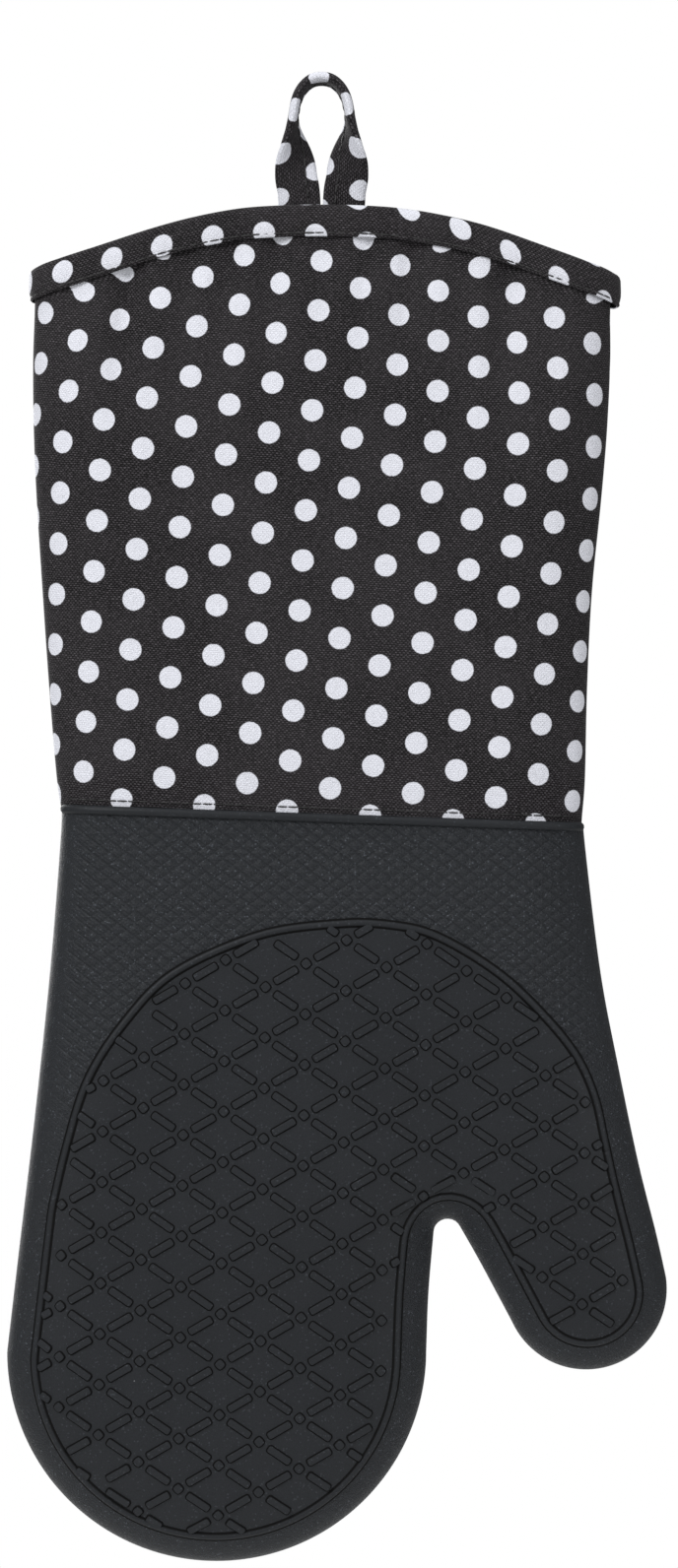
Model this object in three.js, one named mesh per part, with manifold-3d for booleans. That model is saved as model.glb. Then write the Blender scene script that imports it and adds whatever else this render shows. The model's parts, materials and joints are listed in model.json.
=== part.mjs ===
// Oven mitt, hanging by its loop: a padded cotton cuff sewn to a hollow silicone hand with one thumb.
//
// Millimetres. +Z is up, +X is the thumb side, and the front of the hand faces -Y.
// The origin is the point inside the top of the hanging loop where a hook bears.
// The mitt is flexible, so it is made in rigid lengths that meet at four folds: the loop's root,
// the wrist, the knuckles and the base of the thumb. At each fold both sides are bevelled, so that
// the mitt can fold either way to its limit without its pieces meeting.
import * as THREE from 'three';
import { mergeVertices } from 'three/addons/utils/BufferGeometryUtils.js';
import Module from 'manifold-3d';

const wasm = await Module();
wasm.setup();

// ---- Driving dimensions ----

// Loop
const loopDrop = 32.4; // from the bearing point down to the top of the cuff's mouth
const loopTapeWidth = 11;
const loopTapeThickness = 2.6;
const loopLegSpacing = 13; // between the middles of the two legs at the mouth
const loopBow = 16.4; // between the middles of the legs where the loop is widest
const loopSewnLength = 14; // how far each end of the tape runs down inside the mouth

// Cuff
const cuffLength = 167; // from the top of the mouth down to the seam with the silicone
const mouthWidth = 157;
const wristWidth = 144;
const mouthDepth = 21; // front to back over the cloth at the mouth
const mouthArchRadius = 188;
const bindingHeight = 8.6;
const bindingThickness = 0.9;
const seamTilt = 2; // degrees, the seam runs lower on the thumb side
const wristFoldAboveSeam = 19;

// Hand
const palmLength = 111.1; // from the seam down to the top of the gap between thumb and fingers
const handDepth = 28;
const edgeRound = 12; // width of the rounded edge, seen from the front
const fingerLength = 93.7; // from the top of that gap down to the tip of the fingers
const fingerTipRadius = 57.4;
const fingerTipOffset = -28.6; // sideways from the middle of the wrist
const thumbLength = 41.3; // from the top of the gap down to the lowest point of the thumb
const thumbTipRadius = 22.2;
const thumbTipOffset = 72.5;
const crotchRadius = 3.8;
const crotchOffset = 34.6;
const knuckleDrop = 24.5; // from the top of the gap down to the line where the fingers fold
const thumbFoldDrop = 18; // from the top of the gap along the thumb to the line where it folds
const thumbBaseAngle = 24; // degrees, slope of that line

// Wall, from the outside in
const siliconeThickness = 2;
const clothThickness = 1.2;
const rimStep = 0.8; // how far the silicone stands proud of the cloth at the seam
const handWadding = 3.2;
const mouthWadding = 2;
const handLining = 1;
const mouthLining = 0.7;

// Sewing thread
const threadRadius = 0.35;
const bindingStitchMargin = 1;
const seamStitchMargin = 1.3;

// Folds, in degrees each way
const wristLimit = 60;
const knuckleLimit = 60;
const thumbLimit = 55;

// Clearance between pieces that touch
const gap = 0.3;

// ---- Places worked out from them ----

const mouthTop = -loopDrop;
const seamLevel = mouthTop - cuffLength;
const wristLevel = seamLevel + wristFoldAboveSeam;
const crotchTop = new THREE.Vector2(crotchOffset, seamLevel - palmLength);
const fingerTip = new THREE.Vector2(fingerTipOffset, crotchTop.y - fingerLength + fingerTipRadius);
const thumbTip = new THREE.Vector2(thumbTipOffset, crotchTop.y - thumbLength + thumbTipRadius);
const handHalf = handDepth / 2;
const mouthHalf = mouthDepth / 2;
const clothHalf = handHalf - rimStep;

// A layer is how far its outer and inner faces lie inside the outermost surface.
const handLayers = {
  skin: [0, siliconeThickness],
  cloth: [rimStep, rimStep + clothThickness],
};
handLayers.wadding = layerInside(siliconeThickness, handWadding);
handLayers.lining = layerInside(handLayers.wadding[1], handLining);

const mouthLayers = { cloth: [0, clothThickness] };
mouthLayers.wadding = layerInside(clothThickness, mouthWadding);
mouthLayers.lining = layerInside(mouthLayers.wadding[1], mouthLining);
const mouthWall = mouthLayers.lining[1];

const sideAxis = new THREE.Vector3(1, 0, 0);
const depthAxis = new THREE.Vector3(0, 1, 0);
const reach = 500; // longer than any piece, for cutting

const wristFold = {
  origin: new THREE.Vector3(0, 0, wristLevel),
  axis: sideAxis,
  limit: wristLimit,
};
const knuckleFold = {
  origin: new THREE.Vector3(crotchTop.x, 0, crotchTop.y - knuckleDrop),
  axis: sideAxis,
  limit: knuckleLimit,
};
const thumbFold = {
  origin: new THREE.Vector3(
    crotchTop.x + thumbFoldDrop * Math.sin(radians(thumbBaseAngle)),
    0,
    crotchTop.y - thumbFoldDrop * Math.cos(radians(thumbBaseAngle)),
  ),
  axis: new THREE.Vector3(Math.cos(radians(thumbBaseAngle)), 0, Math.sin(radians(thumbBaseAngle))),
  limit: thumbLimit,
};

function radians(degrees) {
  return THREE.MathUtils.degToRad(degrees);
}

function layerInside(outside, thickness) {
  return [outside + gap, outside + gap + thickness];
}

// ---- Solids and cuts ----

function solidOf(geometry) {
  const bare = geometry.clone();
  bare.deleteAttribute('normal');
  bare.deleteAttribute('uv');
  const merged = mergeVertices(bare, 1e-4);
  const vertProperties = new Float32Array(merged.attributes.position.array);
  const triVerts = new Uint32Array(merged.index.array);
  return new wasm.Manifold(new wasm.Mesh({ numProp: 3, vertProperties, triVerts }));
}

function geometryOf(solid) {
  const { vertProperties, triVerts } = solid.getMesh();
  const geometry = new THREE.BufferGeometry();
  geometry.setAttribute('position', new THREE.BufferAttribute(vertProperties, 3));
  geometry.setIndex(new THREE.BufferAttribute(triVerts, 1));
  return geometry;
}

function boxBetween(low, high) {
  const size = high.clone().sub(low);
  const middle = high.clone().add(low).multiplyScalar(0.5);
  const geometry = new THREE.BoxGeometry(size.x, size.y, size.z);
  geometry.translate(middle.x, middle.y, middle.z);
  return geometry;
}

// Everything in front of (side -1) or behind (side 1) the seams at the mitt's edges.
function halfSpace(side) {
  const near = (side * gap) / 2;
  const far = side * reach;
  const low = new THREE.Vector3(-reach, Math.min(near, far), -reach);
  const high = new THREE.Vector3(reach, Math.max(near, far), reach);
  return solidOf(boxBetween(low, high));
}

// Everything above (side 1) or below (side -1) the tilted seam between cloth and silicone.
function seamSpace(side) {
  const low = new THREE.Vector3(-reach, -reach, side > 0 ? gap / 2 : -reach);
  const high = new THREE.Vector3(reach, reach, side > 0 ? reach : -gap / 2);
  const geometry = boxBetween(low, high);
  geometry.rotateY(radians(seamTilt));
  geometry.translate(0, 0, seamLevel);
  return solidOf(geometry);
}

// The space beyond a fold, from one place along its axis to another. Side 1 reaches up into the
// nearer piece by the bevel that the fold needs, and side -1 stops short of the fold by the same.
function beyondFold(fold, side, from, to) {
  const slope = Math.tan(radians(fold.limit / 2));
  const edge = side * (gap / 2 + handDepth * slope);
  const outline = new THREE.Shape([
    new THREE.Vector2(-handDepth, edge),
    new THREE.Vector2(-handDepth, -reach),
    new THREE.Vector2(handDepth, -reach),
    new THREE.Vector2(handDepth, edge),
    new THREE.Vector2(0, (side * gap) / 2),
  ]);
  const geometry = new THREE.ExtrudeGeometry(outline, { depth: to - from, bevelEnabled: false });
  geometry.translate(0, 0, from);
  const up = fold.axis.clone().cross(depthAxis);
  geometry.applyMatrix4(new THREE.Matrix4().makeBasis(depthAxis, up, fold.axis));
  geometry.translate(fold.origin.x, fold.origin.y, fold.origin.z);
  return solidOf(geometry);
}

// A closed surface through rings of points: each ring runs anticlockwise seen from above, and the
// rings run down the outside and back up the inside of a wall.
function wallThroughRings(rings) {
  const count = rings[0].length;
  const positions = rings.flat().flatMap((point) => point.toArray());
  const triangles = [];
  rings.forEach((ring, row) => {
    const next = (row + 1) % rings.length;
    for (let column = 0; column < count; column += 1) {
      const across = (column + 1) % count;
      const a = row * count + column;
      const b = next * count + column;
      const c = next * count + across;
      const d = row * count + across;
      triangles.push(a, b, c, a, c, d);
    }
  });
  const geometry = new THREE.BufferGeometry();
  geometry.setAttribute('position', new THREE.Float32BufferAttribute(positions, 3));
  geometry.setIndex(triangles);
  return geometry;
}

// ---- Cuff: a flattened sleeve, with an arched mouth and flat sides that narrow to the wrist ----

// Half the cuff's width at a share of the way down from the mouth to the wrist fold.
function cuffHalfWidth(share) {
  return THREE.MathUtils.lerp(mouthWidth, wristWidth, THREE.MathUtils.smoothstep(share, 0.1, 1.3)) / 2;
}

function mouthLevel(x) {
  return mouthTop - mouthArchRadius + Math.sqrt(mouthArchRadius ** 2 - x ** 2);
}

// A ring round the cuff: share is 0 at the mouth's edge and 1 at the wrist fold's lowest reach.
function cuffRing(share, inset) {
  const bottom = wristLevel - gap;
  const halfWidth = cuffHalfWidth(share) - inset;
  const halfDepth = THREE.MathUtils.lerp(mouthHalf, clothHalf, share) - inset;
  const round = edgeRound - inset;
  const endSteps = 8;
  const faceSteps = 8;
  const points = [];
  for (const side of [1, -1]) {
    for (let step = 0; step < endSteps; step += 1) {
      const angle = Math.PI * (step / endSteps - 0.5);
      const x = halfWidth - round + round * Math.cos(angle);
      points.push(new THREE.Vector2(side * x, side * halfDepth * Math.sin(angle)));
    }
    for (let step = 0; step < faceSteps; step += 1) {
      const x = THREE.MathUtils.lerp(halfWidth - round, round - halfWidth, step / faceSteps);
      points.push(new THREE.Vector2(side * x, side * halfDepth));
    }
  }
  return points.map(({ x, y }) => {
    const z = THREE.MathUtils.lerp(mouthLevel(x), bottom, share);
    return new THREE.Vector3(x, y, z);
  });
}

// How far down the cuff a length measured from the mouth reaches, as a share.
function cuffShare(length) {
  return length / (mouthTop - wristLevel);
}

function cuffLayer(name) {
  const steps = 4;
  const shares = [];
  for (let step = 0; step <= steps; step += 1) {
    shares.push(THREE.MathUtils.lerp(cuffShare(bindingThickness + gap), 1, step / steps));
  }
  // The linings and waddings thicken from the mouth to the wrist.
  const insetAt = (share, face) => {
    const atWrist = handLayers[name][face] - rimStep;
    return THREE.MathUtils.lerp(mouthLayers[name][face], atWrist, share);
  };
  const outside = shares.map((share) => cuffRing(share, insetAt(share, 0)));
  const inside = shares.map((share) => cuffRing(share, insetAt(share, 1))).reverse();
  const sleeve = solidOf(wallThroughRings([...outside, ...inside]));
  return sleeve.subtract(beyondFold(wristFold, 1, -reach, reach));
}

// The binding is a folded strip that straddles the mouth's edge all the way round.
function bindingSolid() {
  const lower = cuffShare(bindingHeight);
  const underFold = cuffShare(bindingThickness);
  const outer = -gap - bindingThickness;
  const inner = mouthWall + gap + bindingThickness;
  const rings = [
    cuffRing(0, outer + bindingThickness / 2),
    cuffRing(underFold / 2, outer),
    cuffRing(lower, outer),
    cuffRing(lower, -gap),
    cuffRing(underFold, -gap),
    cuffRing(underFold, mouthWall + gap),
    cuffRing(lower, mouthWall + gap),
    cuffRing(lower, inner),
    cuffRing(underFold / 2, inner),
    cuffRing(0, inner - bindingThickness / 2),
  ];
  return solidOf(wallThroughRings(rings));
}

// ---- Hand: one outline seen from the front, made deep with a rounded edge ----

// Points along an arc, from one angle to another in degrees.
function arcPoints(centre, radius, from, to, steps) {
  const points = [];
  for (let step = 0; step <= steps; step += 1) {
    const angle = radians(THREE.MathUtils.lerp(from, to, step / steps));
    points.push(new THREE.Vector2(Math.cos(angle), Math.sin(angle)).multiplyScalar(radius).add(centre));
  }
  return points;
}

// Points along a smooth edge from one place to another. Each bow is a share of the way along and
// how far sideways the edge lies from the straight line there.
function edgePoints(from, to, bows, steps) {
  const knots = bows.map(([share, sideways]) => (
    new THREE.Vector2().lerpVectors(from, to, share).add(new THREE.Vector2(sideways, 0))
  ));
  return new THREE.SplineCurve([from, ...knots, to]).getPoints(steps);
}

function handOutline() {
  const waist = seamLevel + 8;
  const top = waist + 3 * edgeRound;
  const halfWrist = wristWidth / 2;
  const crotch = new THREE.Vector2(crotchTop.x, crotchTop.y - crotchRadius);
  const fingerEnd = arcPoints(fingerTip, fingerTipRadius, 180, 360, 14);
  const crotchArc = arcPoints(crotch, crotchRadius, 180, 28, 6);
  const thumbEnd = arcPoints(thumbTip, thumbTipRadius, 202, 368, 12);
  const leftWaist = new THREE.Vector2(-halfWrist, waist);
  const rightWaist = new THREE.Vector2(halfWrist, waist);
  const points = [
    new THREE.Vector2(-halfWrist, top),
    ...edgePoints(leftWaist, fingerEnd[0], [[0.15, 2], [0.4, 2.2], [0.7, 1.4]], 9),
    ...fingerEnd,
    ...edgePoints(fingerEnd.at(-1), crotchArc[0], [[0.5, -0.4]], 3),
    ...crotchArc,
    ...thumbEnd,
    ...edgePoints(thumbEnd.at(-1), rightWaist, [[0.2, -2.7], [0.5, -3.9], [0.8, -3.1]], 9),
    new THREE.Vector2(halfWrist, top),
  ];
  return new THREE.Shape(points.filter((point, index) => (
    index === 0 || point.distanceTo(points[index - 1]) > gap
  )));
}

// The hand's outline grown to its full depth, with every face moved in by the same amount.
function pillow(inset) {
  const band = 0.2;
  const geometry = new THREE.ExtrudeGeometry(handOutline(), {
    depth: band,
    bevelThickness: handHalf - inset - band / 2,
    bevelSize: edgeRound - inset,
    bevelOffset: -edgeRound,
    bevelSegments: 3,
  });
  geometry.translate(0, 0, -band / 2);
  geometry.rotateX(Math.PI / 2);
  return solidOf(geometry);
}

function handLayer(name) {
  const [outer, inner] = handLayers[name];
  const wall = pillow(outer).subtract(pillow(inner));
  return wall.intersect(beyondFold(wristFold, -1, -reach, reach));
}

// Both folds end in the gap between thumb and fingers, so neither reaches across to the other.
function splitHandLayer(layer) {
  return {
    palm: layer
      .subtract(beyondFold(knuckleFold, 1, -reach, 0))
      .subtract(beyondFold(thumbFold, 1, -crotchRadius, reach)),
    fingers: layer.intersect(beyondFold(knuckleFold, -1, -reach, 0)),
    thumb: layer.intersect(beyondFold(thumbFold, -1, -crotchRadius, reach)),
  };
}

// ---- Hanging loop: one folded tape, face on at its legs and turned edge on over the top ----

const loopRoot = new THREE.Vector3(
  0,
  mouthHalf - mouthWall - gap - bindingThickness - gap - loopTapeThickness / 2 - gap,
  mouthTop + loopTapeThickness / 2 + 0.9,
);

// The middle of the tape: up one leg from the root, over the top and down the other.
function loopPath() {
  const crown = loopTapeThickness / 2;
  const root = loopLegSpacing / 2;
  const bow = loopBow / 2;
  const height = crown - loopRoot.z;
  const rising = [
    new THREE.Vector3(-root, loopRoot.y, loopRoot.z),
    new THREE.Vector3(-root * 1.06, loopRoot.y, loopRoot.z + height * 0.16),
    new THREE.Vector3(-bow, loopRoot.y, loopRoot.z + height * 0.5),
    new THREE.Vector3(-bow * 0.88, loopRoot.y, loopRoot.z + height * 0.78),
    new THREE.Vector3(-bow * 0.5, loopRoot.y, loopRoot.z + height * 0.95),
  ];
  const top = new THREE.Vector3(0, loopRoot.y, crown);
  const falling = rising.map((point) => new THREE.Vector3(-point.x, point.y, point.z)).reverse();
  return new THREE.CatmullRomCurve3([...rising, top, ...falling], false, 'centripetal');
}

// The bearing point is on the tape's middle, so the whole loop is drawn round Y = 0 at its crown
// and leans back to its root inside the mouth.
function loopSolid() {
  const path = loopPath();
  const steps = 28;
  const rings = [];
  for (let step = 0; step <= steps; step += 1) {
    const share = step / steps;
    const middle = path.getPoint(share);
    const along = path.getTangent(share);
    const rise = (middle.z - loopRoot.z) / (loopTapeThickness / 2 - loopRoot.z);
    middle.y = loopRoot.y * (1 - THREE.MathUtils.smoothstep(rise, 0.2, 0.95));
    const turn = THREE.MathUtils.smoothstep(rise, 0.1, 0.85) * (Math.PI / 2);
    const inPlane = new THREE.Vector3().crossVectors(depthAxis, along).normalize();
    const side = share < 0.5 ? 1 : -1;
    const wide = inPlane.clone().multiplyScalar(Math.cos(turn));
    wide.addScaledVector(depthAxis, side * Math.sin(turn)).setLength(loopTapeWidth / 2);
    const thick = along.clone().cross(wide).setLength(loopTapeThickness / 2);
    rings.push([[-1, -1], [1, -1], [1, 1], [-1, 1]].map(([across, through]) => (
      middle.clone().addScaledVector(wide, across).addScaledVector(thick, through)
    )));
  }
  return solidOf(cappedTube(rings));
}

// A closed tube through rings of four corners, with a flat end at each side.
function cappedTube(rings) {
  const positions = rings.flat().flatMap((point) => point.toArray());
  const last = (rings.length - 1) * 4;
  const triangles = [0, 2, 1, 0, 3, 2, last, last + 1, last + 2, last, last + 2, last + 3];
  for (let row = 0; row < rings.length - 1; row += 1) {
    for (let corner = 0; corner < 4; corner += 1) {
      const next = (corner + 1) % 4;
      const a = row * 4 + corner;
      const b = row * 4 + next;
      triangles.push(a, b, b + 4, a, b + 4, a + 4);
    }
  }
  const geometry = new THREE.BufferGeometry();
  geometry.setAttribute('position', new THREE.Float32BufferAttribute(positions, 3));
  geometry.setIndex(triangles);
  return geometry;
}

function loopSewnEnd(side) {
  const top = loopRoot.z - loopTapeThickness / 2 - gap;
  const middle = (side * loopLegSpacing) / 2;
  const low = new THREE.Vector3(
    middle - loopTapeWidth / 2,
    loopRoot.y - loopTapeThickness / 2,
    mouthTop - loopSewnLength,
  );
  const high = new THREE.Vector3(
    middle + loopTapeWidth / 2,
    loopRoot.y + loopTapeThickness / 2,
    top,
  );
  return boxBetween(low, high);
}

// ---- Sewing threads, each drawn as one continuous line ----

function thread(points) {
  const section = new THREE.Shape();
  section.absarc(0, 0, threadRadius, 0, 2 * Math.PI, false);
  const extrudePath = new THREE.CatmullRomCurve3(points);
  const steps = points.length * 2;
  return new THREE.ExtrudeGeometry(section, { steps, curveSegments: 3, bevelEnabled: false, extrudePath });
}

// A thread along the lower edge of the binding, across one face of the cuff.
function bindingThread(side) {
  const share = cuffShare(bindingHeight - bindingStitchMargin);
  const inset = -gap - bindingThickness - gap - threadRadius;
  const onFace = cuffRing(share, inset).filter((point) => (
    side * point.y > 0 && Math.abs(point.x) <= mouthWidth / 2 - edgeRound + 2
  ));
  return thread(onFace.sort((a, b) => a.x - b.x));
}

// A thread just above the seam that joins the cloth to the silicone.
function seamThread(side) {
  const stand = clothHalf + gap + threadRadius;
  const reachAlong = wristWidth / 2 - edgeRound;
  const points = [-1, -0.5, 0, 0.5, 1].map((share) => {
    const x = share * reachAlong;
    const z = seamLevel - x * Math.tan(radians(seamTilt)) + seamStitchMargin;
    return new THREE.Vector3(x, side * stand, z);
  });
  return thread(points);
}

// The row of stitches that holds both ends of the loop's tape inside the mouth.
function loopThread() {
  const y = loopRoot.y - loopTapeThickness / 2 - gap - threadRadius;
  const z = mouthTop - loopSewnLength / 2;
  const halfLength = loopLegSpacing / 2 + loopTapeWidth * 0.4;
  return thread([-1, 0, 1].map((share) => new THREE.Vector3(share * halfLength, y, z)));
}

// ---- The assembly ----

const finishes = {
  silicone: { color: 0x2d3235, roughness: 0.6, metalness: 0 },
  cloth: { color: 0x262221, roughness: 0.9, metalness: 0 },
  wadding: { color: 0xd8d5cd, roughness: 1, metalness: 0 },
  lining: { color: 0x2b2928, roughness: 0.95, metalness: 0 },
  thread: { color: 0x1d1b1c, roughness: 0.8, metalness: 0 },
};

function piece(name, finish, shape) {
  const geometry = shape instanceof THREE.BufferGeometry ? shape : geometryOf(shape);
  const mesh = new THREE.Mesh(geometry, new THREE.MeshStandardMaterial(finishes[finish]));
  mesh.name = name;
  return mesh;
}

function frontAndBack(shape) {
  return { front: shape.intersect(halfSpace(-1)), back: shape.intersect(halfSpace(1)) };
}

const mitt = new THREE.Group();

mitt.add(piece('hanging_loop', 'cloth', loopSolid()));

const cuff = new THREE.Group();
cuff.add(piece('loop_sewn_end_left', 'cloth', loopSewnEnd(-1)));
cuff.add(piece('loop_sewn_end_right', 'cloth', loopSewnEnd(1)));
cuff.add(piece('loop_stitching', 'thread', loopThread()));
cuff.add(piece('mouth_binding', 'cloth', bindingSolid()));
cuff.add(piece('binding_stitching_front', 'thread', bindingThread(-1)));
cuff.add(piece('binding_stitching_back', 'thread', bindingThread(1)));
const cuffCloth = frontAndBack(cuffLayer('cloth'));
cuff.add(piece('cuff_front_panel', 'cloth', cuffCloth.front));
cuff.add(piece('cuff_back_panel', 'cloth', cuffCloth.back));
const cuffWadding = frontAndBack(cuffLayer('wadding'));
cuff.add(piece('cuff_front_wadding', 'wadding', cuffWadding.front));
cuff.add(piece('cuff_back_wadding', 'wadding', cuffWadding.back));
const cuffLining = frontAndBack(cuffLayer('lining'));
cuff.add(piece('cuff_front_lining', 'lining', cuffLining.front));
cuff.add(piece('cuff_back_lining', 'lining', cuffLining.back));
mitt.add(cuff);

const hand = new THREE.Group();
const wristCloth = frontAndBack(handLayer('cloth').intersect(seamSpace(1)));
hand.add(piece('wrist_front_panel', 'cloth', wristCloth.front));
hand.add(piece('wrist_back_panel', 'cloth', wristCloth.back));
hand.add(piece('seam_stitching_front', 'thread', seamThread(-1)));
hand.add(piece('seam_stitching_back', 'thread', seamThread(1)));
const skin = splitHandLayer(handLayer('skin').intersect(seamSpace(-1)));
const wadding = splitHandLayer(handLayer('wadding'));
const lining = splitHandLayer(handLayer('lining'));
for (const length of ['palm', 'fingers', 'thumb']) {
  hand.add(piece(`${length}_silicone_skin`, 'silicone', skin[length]));
  hand.add(piece(`${length}_wadding`, 'wadding', wadding[length]));
  hand.add(piece(`${length}_lining`, 'lining', lining[length]));
}
mitt.add(hand);

export default mitt;
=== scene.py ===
"""Oven mitt: the looks of a dotted cotton cuff and a moulded silicone hand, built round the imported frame.

Shapes are worked out in millimetres and made in metres. X is the thumb side, -Y is the front, +Z is up.
"""
import json
import math

import bpy
import bmesh
import numpy as np
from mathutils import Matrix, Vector
from mathutils.geometry import delaunay_2d_cdt


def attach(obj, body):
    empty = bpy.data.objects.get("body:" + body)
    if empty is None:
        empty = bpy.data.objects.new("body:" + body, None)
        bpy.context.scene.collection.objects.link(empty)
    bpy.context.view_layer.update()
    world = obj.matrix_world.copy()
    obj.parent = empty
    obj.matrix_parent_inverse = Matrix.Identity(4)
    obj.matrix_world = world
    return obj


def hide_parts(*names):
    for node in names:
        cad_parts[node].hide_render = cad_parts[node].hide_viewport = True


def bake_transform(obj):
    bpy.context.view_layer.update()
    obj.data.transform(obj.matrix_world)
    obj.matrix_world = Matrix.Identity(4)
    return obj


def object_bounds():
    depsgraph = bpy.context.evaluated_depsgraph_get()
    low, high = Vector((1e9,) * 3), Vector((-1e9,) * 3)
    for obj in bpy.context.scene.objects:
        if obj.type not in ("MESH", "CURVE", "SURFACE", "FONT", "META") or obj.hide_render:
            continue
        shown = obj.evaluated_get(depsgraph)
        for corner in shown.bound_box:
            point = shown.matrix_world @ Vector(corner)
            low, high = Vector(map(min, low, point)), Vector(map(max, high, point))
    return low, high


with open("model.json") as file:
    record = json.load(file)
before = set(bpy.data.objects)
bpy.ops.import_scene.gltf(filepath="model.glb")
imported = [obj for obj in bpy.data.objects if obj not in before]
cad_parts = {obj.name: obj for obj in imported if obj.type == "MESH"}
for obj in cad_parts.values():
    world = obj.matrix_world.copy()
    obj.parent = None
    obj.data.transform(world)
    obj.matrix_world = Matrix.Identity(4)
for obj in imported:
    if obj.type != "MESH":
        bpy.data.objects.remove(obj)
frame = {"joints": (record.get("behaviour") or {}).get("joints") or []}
CAD_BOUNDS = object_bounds()

bl_info = {
    "name": "Oven Mitt",
    "version": (1, 0, 0),
    "blender": (4, 5, 0),
    "location": "View3D > Sidebar > Oven Mitt",
    "description": "Builds a dotted cotton and silicone oven mitt round its packed frame",
    "category": "Object",
}

MM = 0.001
JOINTS = {joint["name"]: joint for joint in frame["joints"]}


# ---------------------------------------------------------------- sizes and colours


class MittSizes(bpy.types.PropertyGroup):
    """Sizes a maker would change, in metres."""

    hand_depth: bpy.props.FloatProperty(
        name="Hand depth", description="Front to back through the palm", default=0.028, unit="LENGTH"
    )
    edge_roll: bpy.props.FloatProperty(
        name="Edge roll", description="Width over which the hand rolls round to its edge",
        default=0.027, unit="LENGTH",
    )
    mouth_depth: bpy.props.FloatProperty(
        name="Mouth depth", description="Front to back over the cloth at the mouth",
        default=0.021, unit="LENGTH",
    )
    binding_height: bpy.props.FloatProperty(
        name="Binding height", description="How far the binding comes down the cuff",
        default=0.0088, unit="LENGTH",
    )
    border_inset: bpy.props.FloatProperty(
        name="Border inset", description="From the hand's edge in to the raised border",
        default=0.0082, unit="LENGTH",
    )
    bar_length: bpy.props.FloatProperty(
        name="Grip bar length", description="Length of one raised bar", default=0.0070, unit="LENGTH"
    )
    bar_width: bpy.props.FloatProperty(
        name="Grip bar width", description="Width of one raised bar", default=0.0019, unit="LENGTH"
    )
    bar_height: bpy.props.FloatProperty(
        name="Grip bar height", description="How far a bar stands up", default=0.0006, unit="LENGTH"
    )
    dot_radius: bpy.props.FloatProperty(
        name="Dot radius", description="Radius of one printed dot", default=0.0030, unit="LENGTH"
    )
    stitch_pitch: bpy.props.FloatProperty(
        name="Stitch pitch", description="From one stitch to the next", default=0.0029, unit="LENGTH"
    )


class MittColours(bpy.types.PropertyGroup):
    """Colours of the mitt's materials."""

    silicone: bpy.props.FloatVectorProperty(
        name="Silicone", description="Moulded silicone", subtype="COLOR", size=3,
        default=(0.016, 0.0178, 0.0208), min=0, max=1,
    )
    cloth: bpy.props.FloatVectorProperty(
        name="Cloth ground", description="Ground colour of the cotton", subtype="COLOR", size=3,
        default=(0.0150, 0.0138, 0.0150), min=0, max=1,
    )
    dots: bpy.props.FloatVectorProperty(
        name="Dots", description="Printed dots", subtype="COLOR", size=3,
        default=(0.60, 0.612, 0.662), min=0, max=1,
    )
    thread: bpy.props.FloatVectorProperty(
        name="Thread", description="Sewing thread", subtype="COLOR", size=3,
        default=(0.006, 0.0056, 0.006), min=0, max=1,
    )
    lining: bpy.props.FloatVectorProperty(
        name="Lining", description="Lining cloth", subtype="COLOR", size=3,
        default=(0.024, 0.022, 0.021), min=0, max=1,
    )


def sizes():
    return bpy.context.scene.mitt_sizes


def colours():
    return bpy.context.scene.mitt_colours


# ---------------------------------------------------------------- the mitt's outlines, in millimetres

MOUTH_TOP = -33.9
SEAM_LEVEL = -199.4
SEAM_SLOPE = math.tan(math.radians(2.0))
MOUTH_WALL = 4.5
BINDING_LEVEL = MOUTH_TOP - 16.0
CLOTH_STEP = 0.8
SEAM_GROOVE = 0.7
ROLL_POWER = 2.3
FINGER_TIP = (-28.6, -346.8, 57.4)
THUMB_TIP = (72.5, -329.6, 22.2)
CROTCH = (34.6, -314.3, 3.8)
SKIN_RINGS = (0, 0.12, 0.4, 0.9, 1.6, 2.5, 3.6, 4.9, 6.4, 8.1, 10.0, 12.1, 14.4)
LINING_INSET = 6.8
LINING_RINGS = (6.8, 7.1, 7.9, 9.1, 10.6, 12.4, 14.4)
GRIP_NODE = np.array((-14.97, -246.41))
GRIP_DIAMOND = 1.36
DIAMOND_MARGIN = 2.2
BAR_MARGIN = 0.7
RIM_HALF_HEIGHT = 1.25
RIM_HALF_DEPTH = 1.15
SKIN_SPACING = 3.0
LINING_SPACING = 6.0
GRIP_STEPS = np.array(((10.97, 6.356), (10.775, -7.345)))
PRINT_STEPS = ((10.825, -7.487), (0.850, 13.575))
PRINT_ORIGIN = (-4.08, -117.2)
BACK_PRINT_SHIFT = (5.3, 3.1, 0.0)
TAPE_STEPS = ((11.7, 0.25), (5.8, 11.2))
TAPE_ORIGIN = (-0.8, -4.9)
BINDING_STEPS = ((14.15, 0.0), (3.0, 11.6))
BINDING_ORIGIN = (-1.3, 0.0)
BINDING_DRIFT = ((-90, 2.2), (-3, 7.4), (24, 11.0), (38, 13.5), (52, 16.2), (64, 18.3), (85, 21.2))


def smooth_curve(knots, spacing=1.0):
    """Points evenly spaced on a smooth curve through the knots."""
    knots = np.array(knots, float)
    ends = np.vstack((2 * knots[0] - knots[1], knots, 2 * knots[-1] - knots[-2]))
    rows = []
    for before, start, stop, after in zip(ends, ends[1:], ends[2:], ends[3:]):
        t = np.linspace(0, 1, 24, endpoint=False)[:, None]
        rows.append(0.5 * (
            2 * start + (stop - before) * t
            + (2 * before - 5 * start + 4 * stop - after) * t ** 2
            + (3 * start - before - 3 * stop + after) * t ** 3
        ))
    return evenly(np.vstack((*rows, knots[-1:])), spacing)


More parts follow.
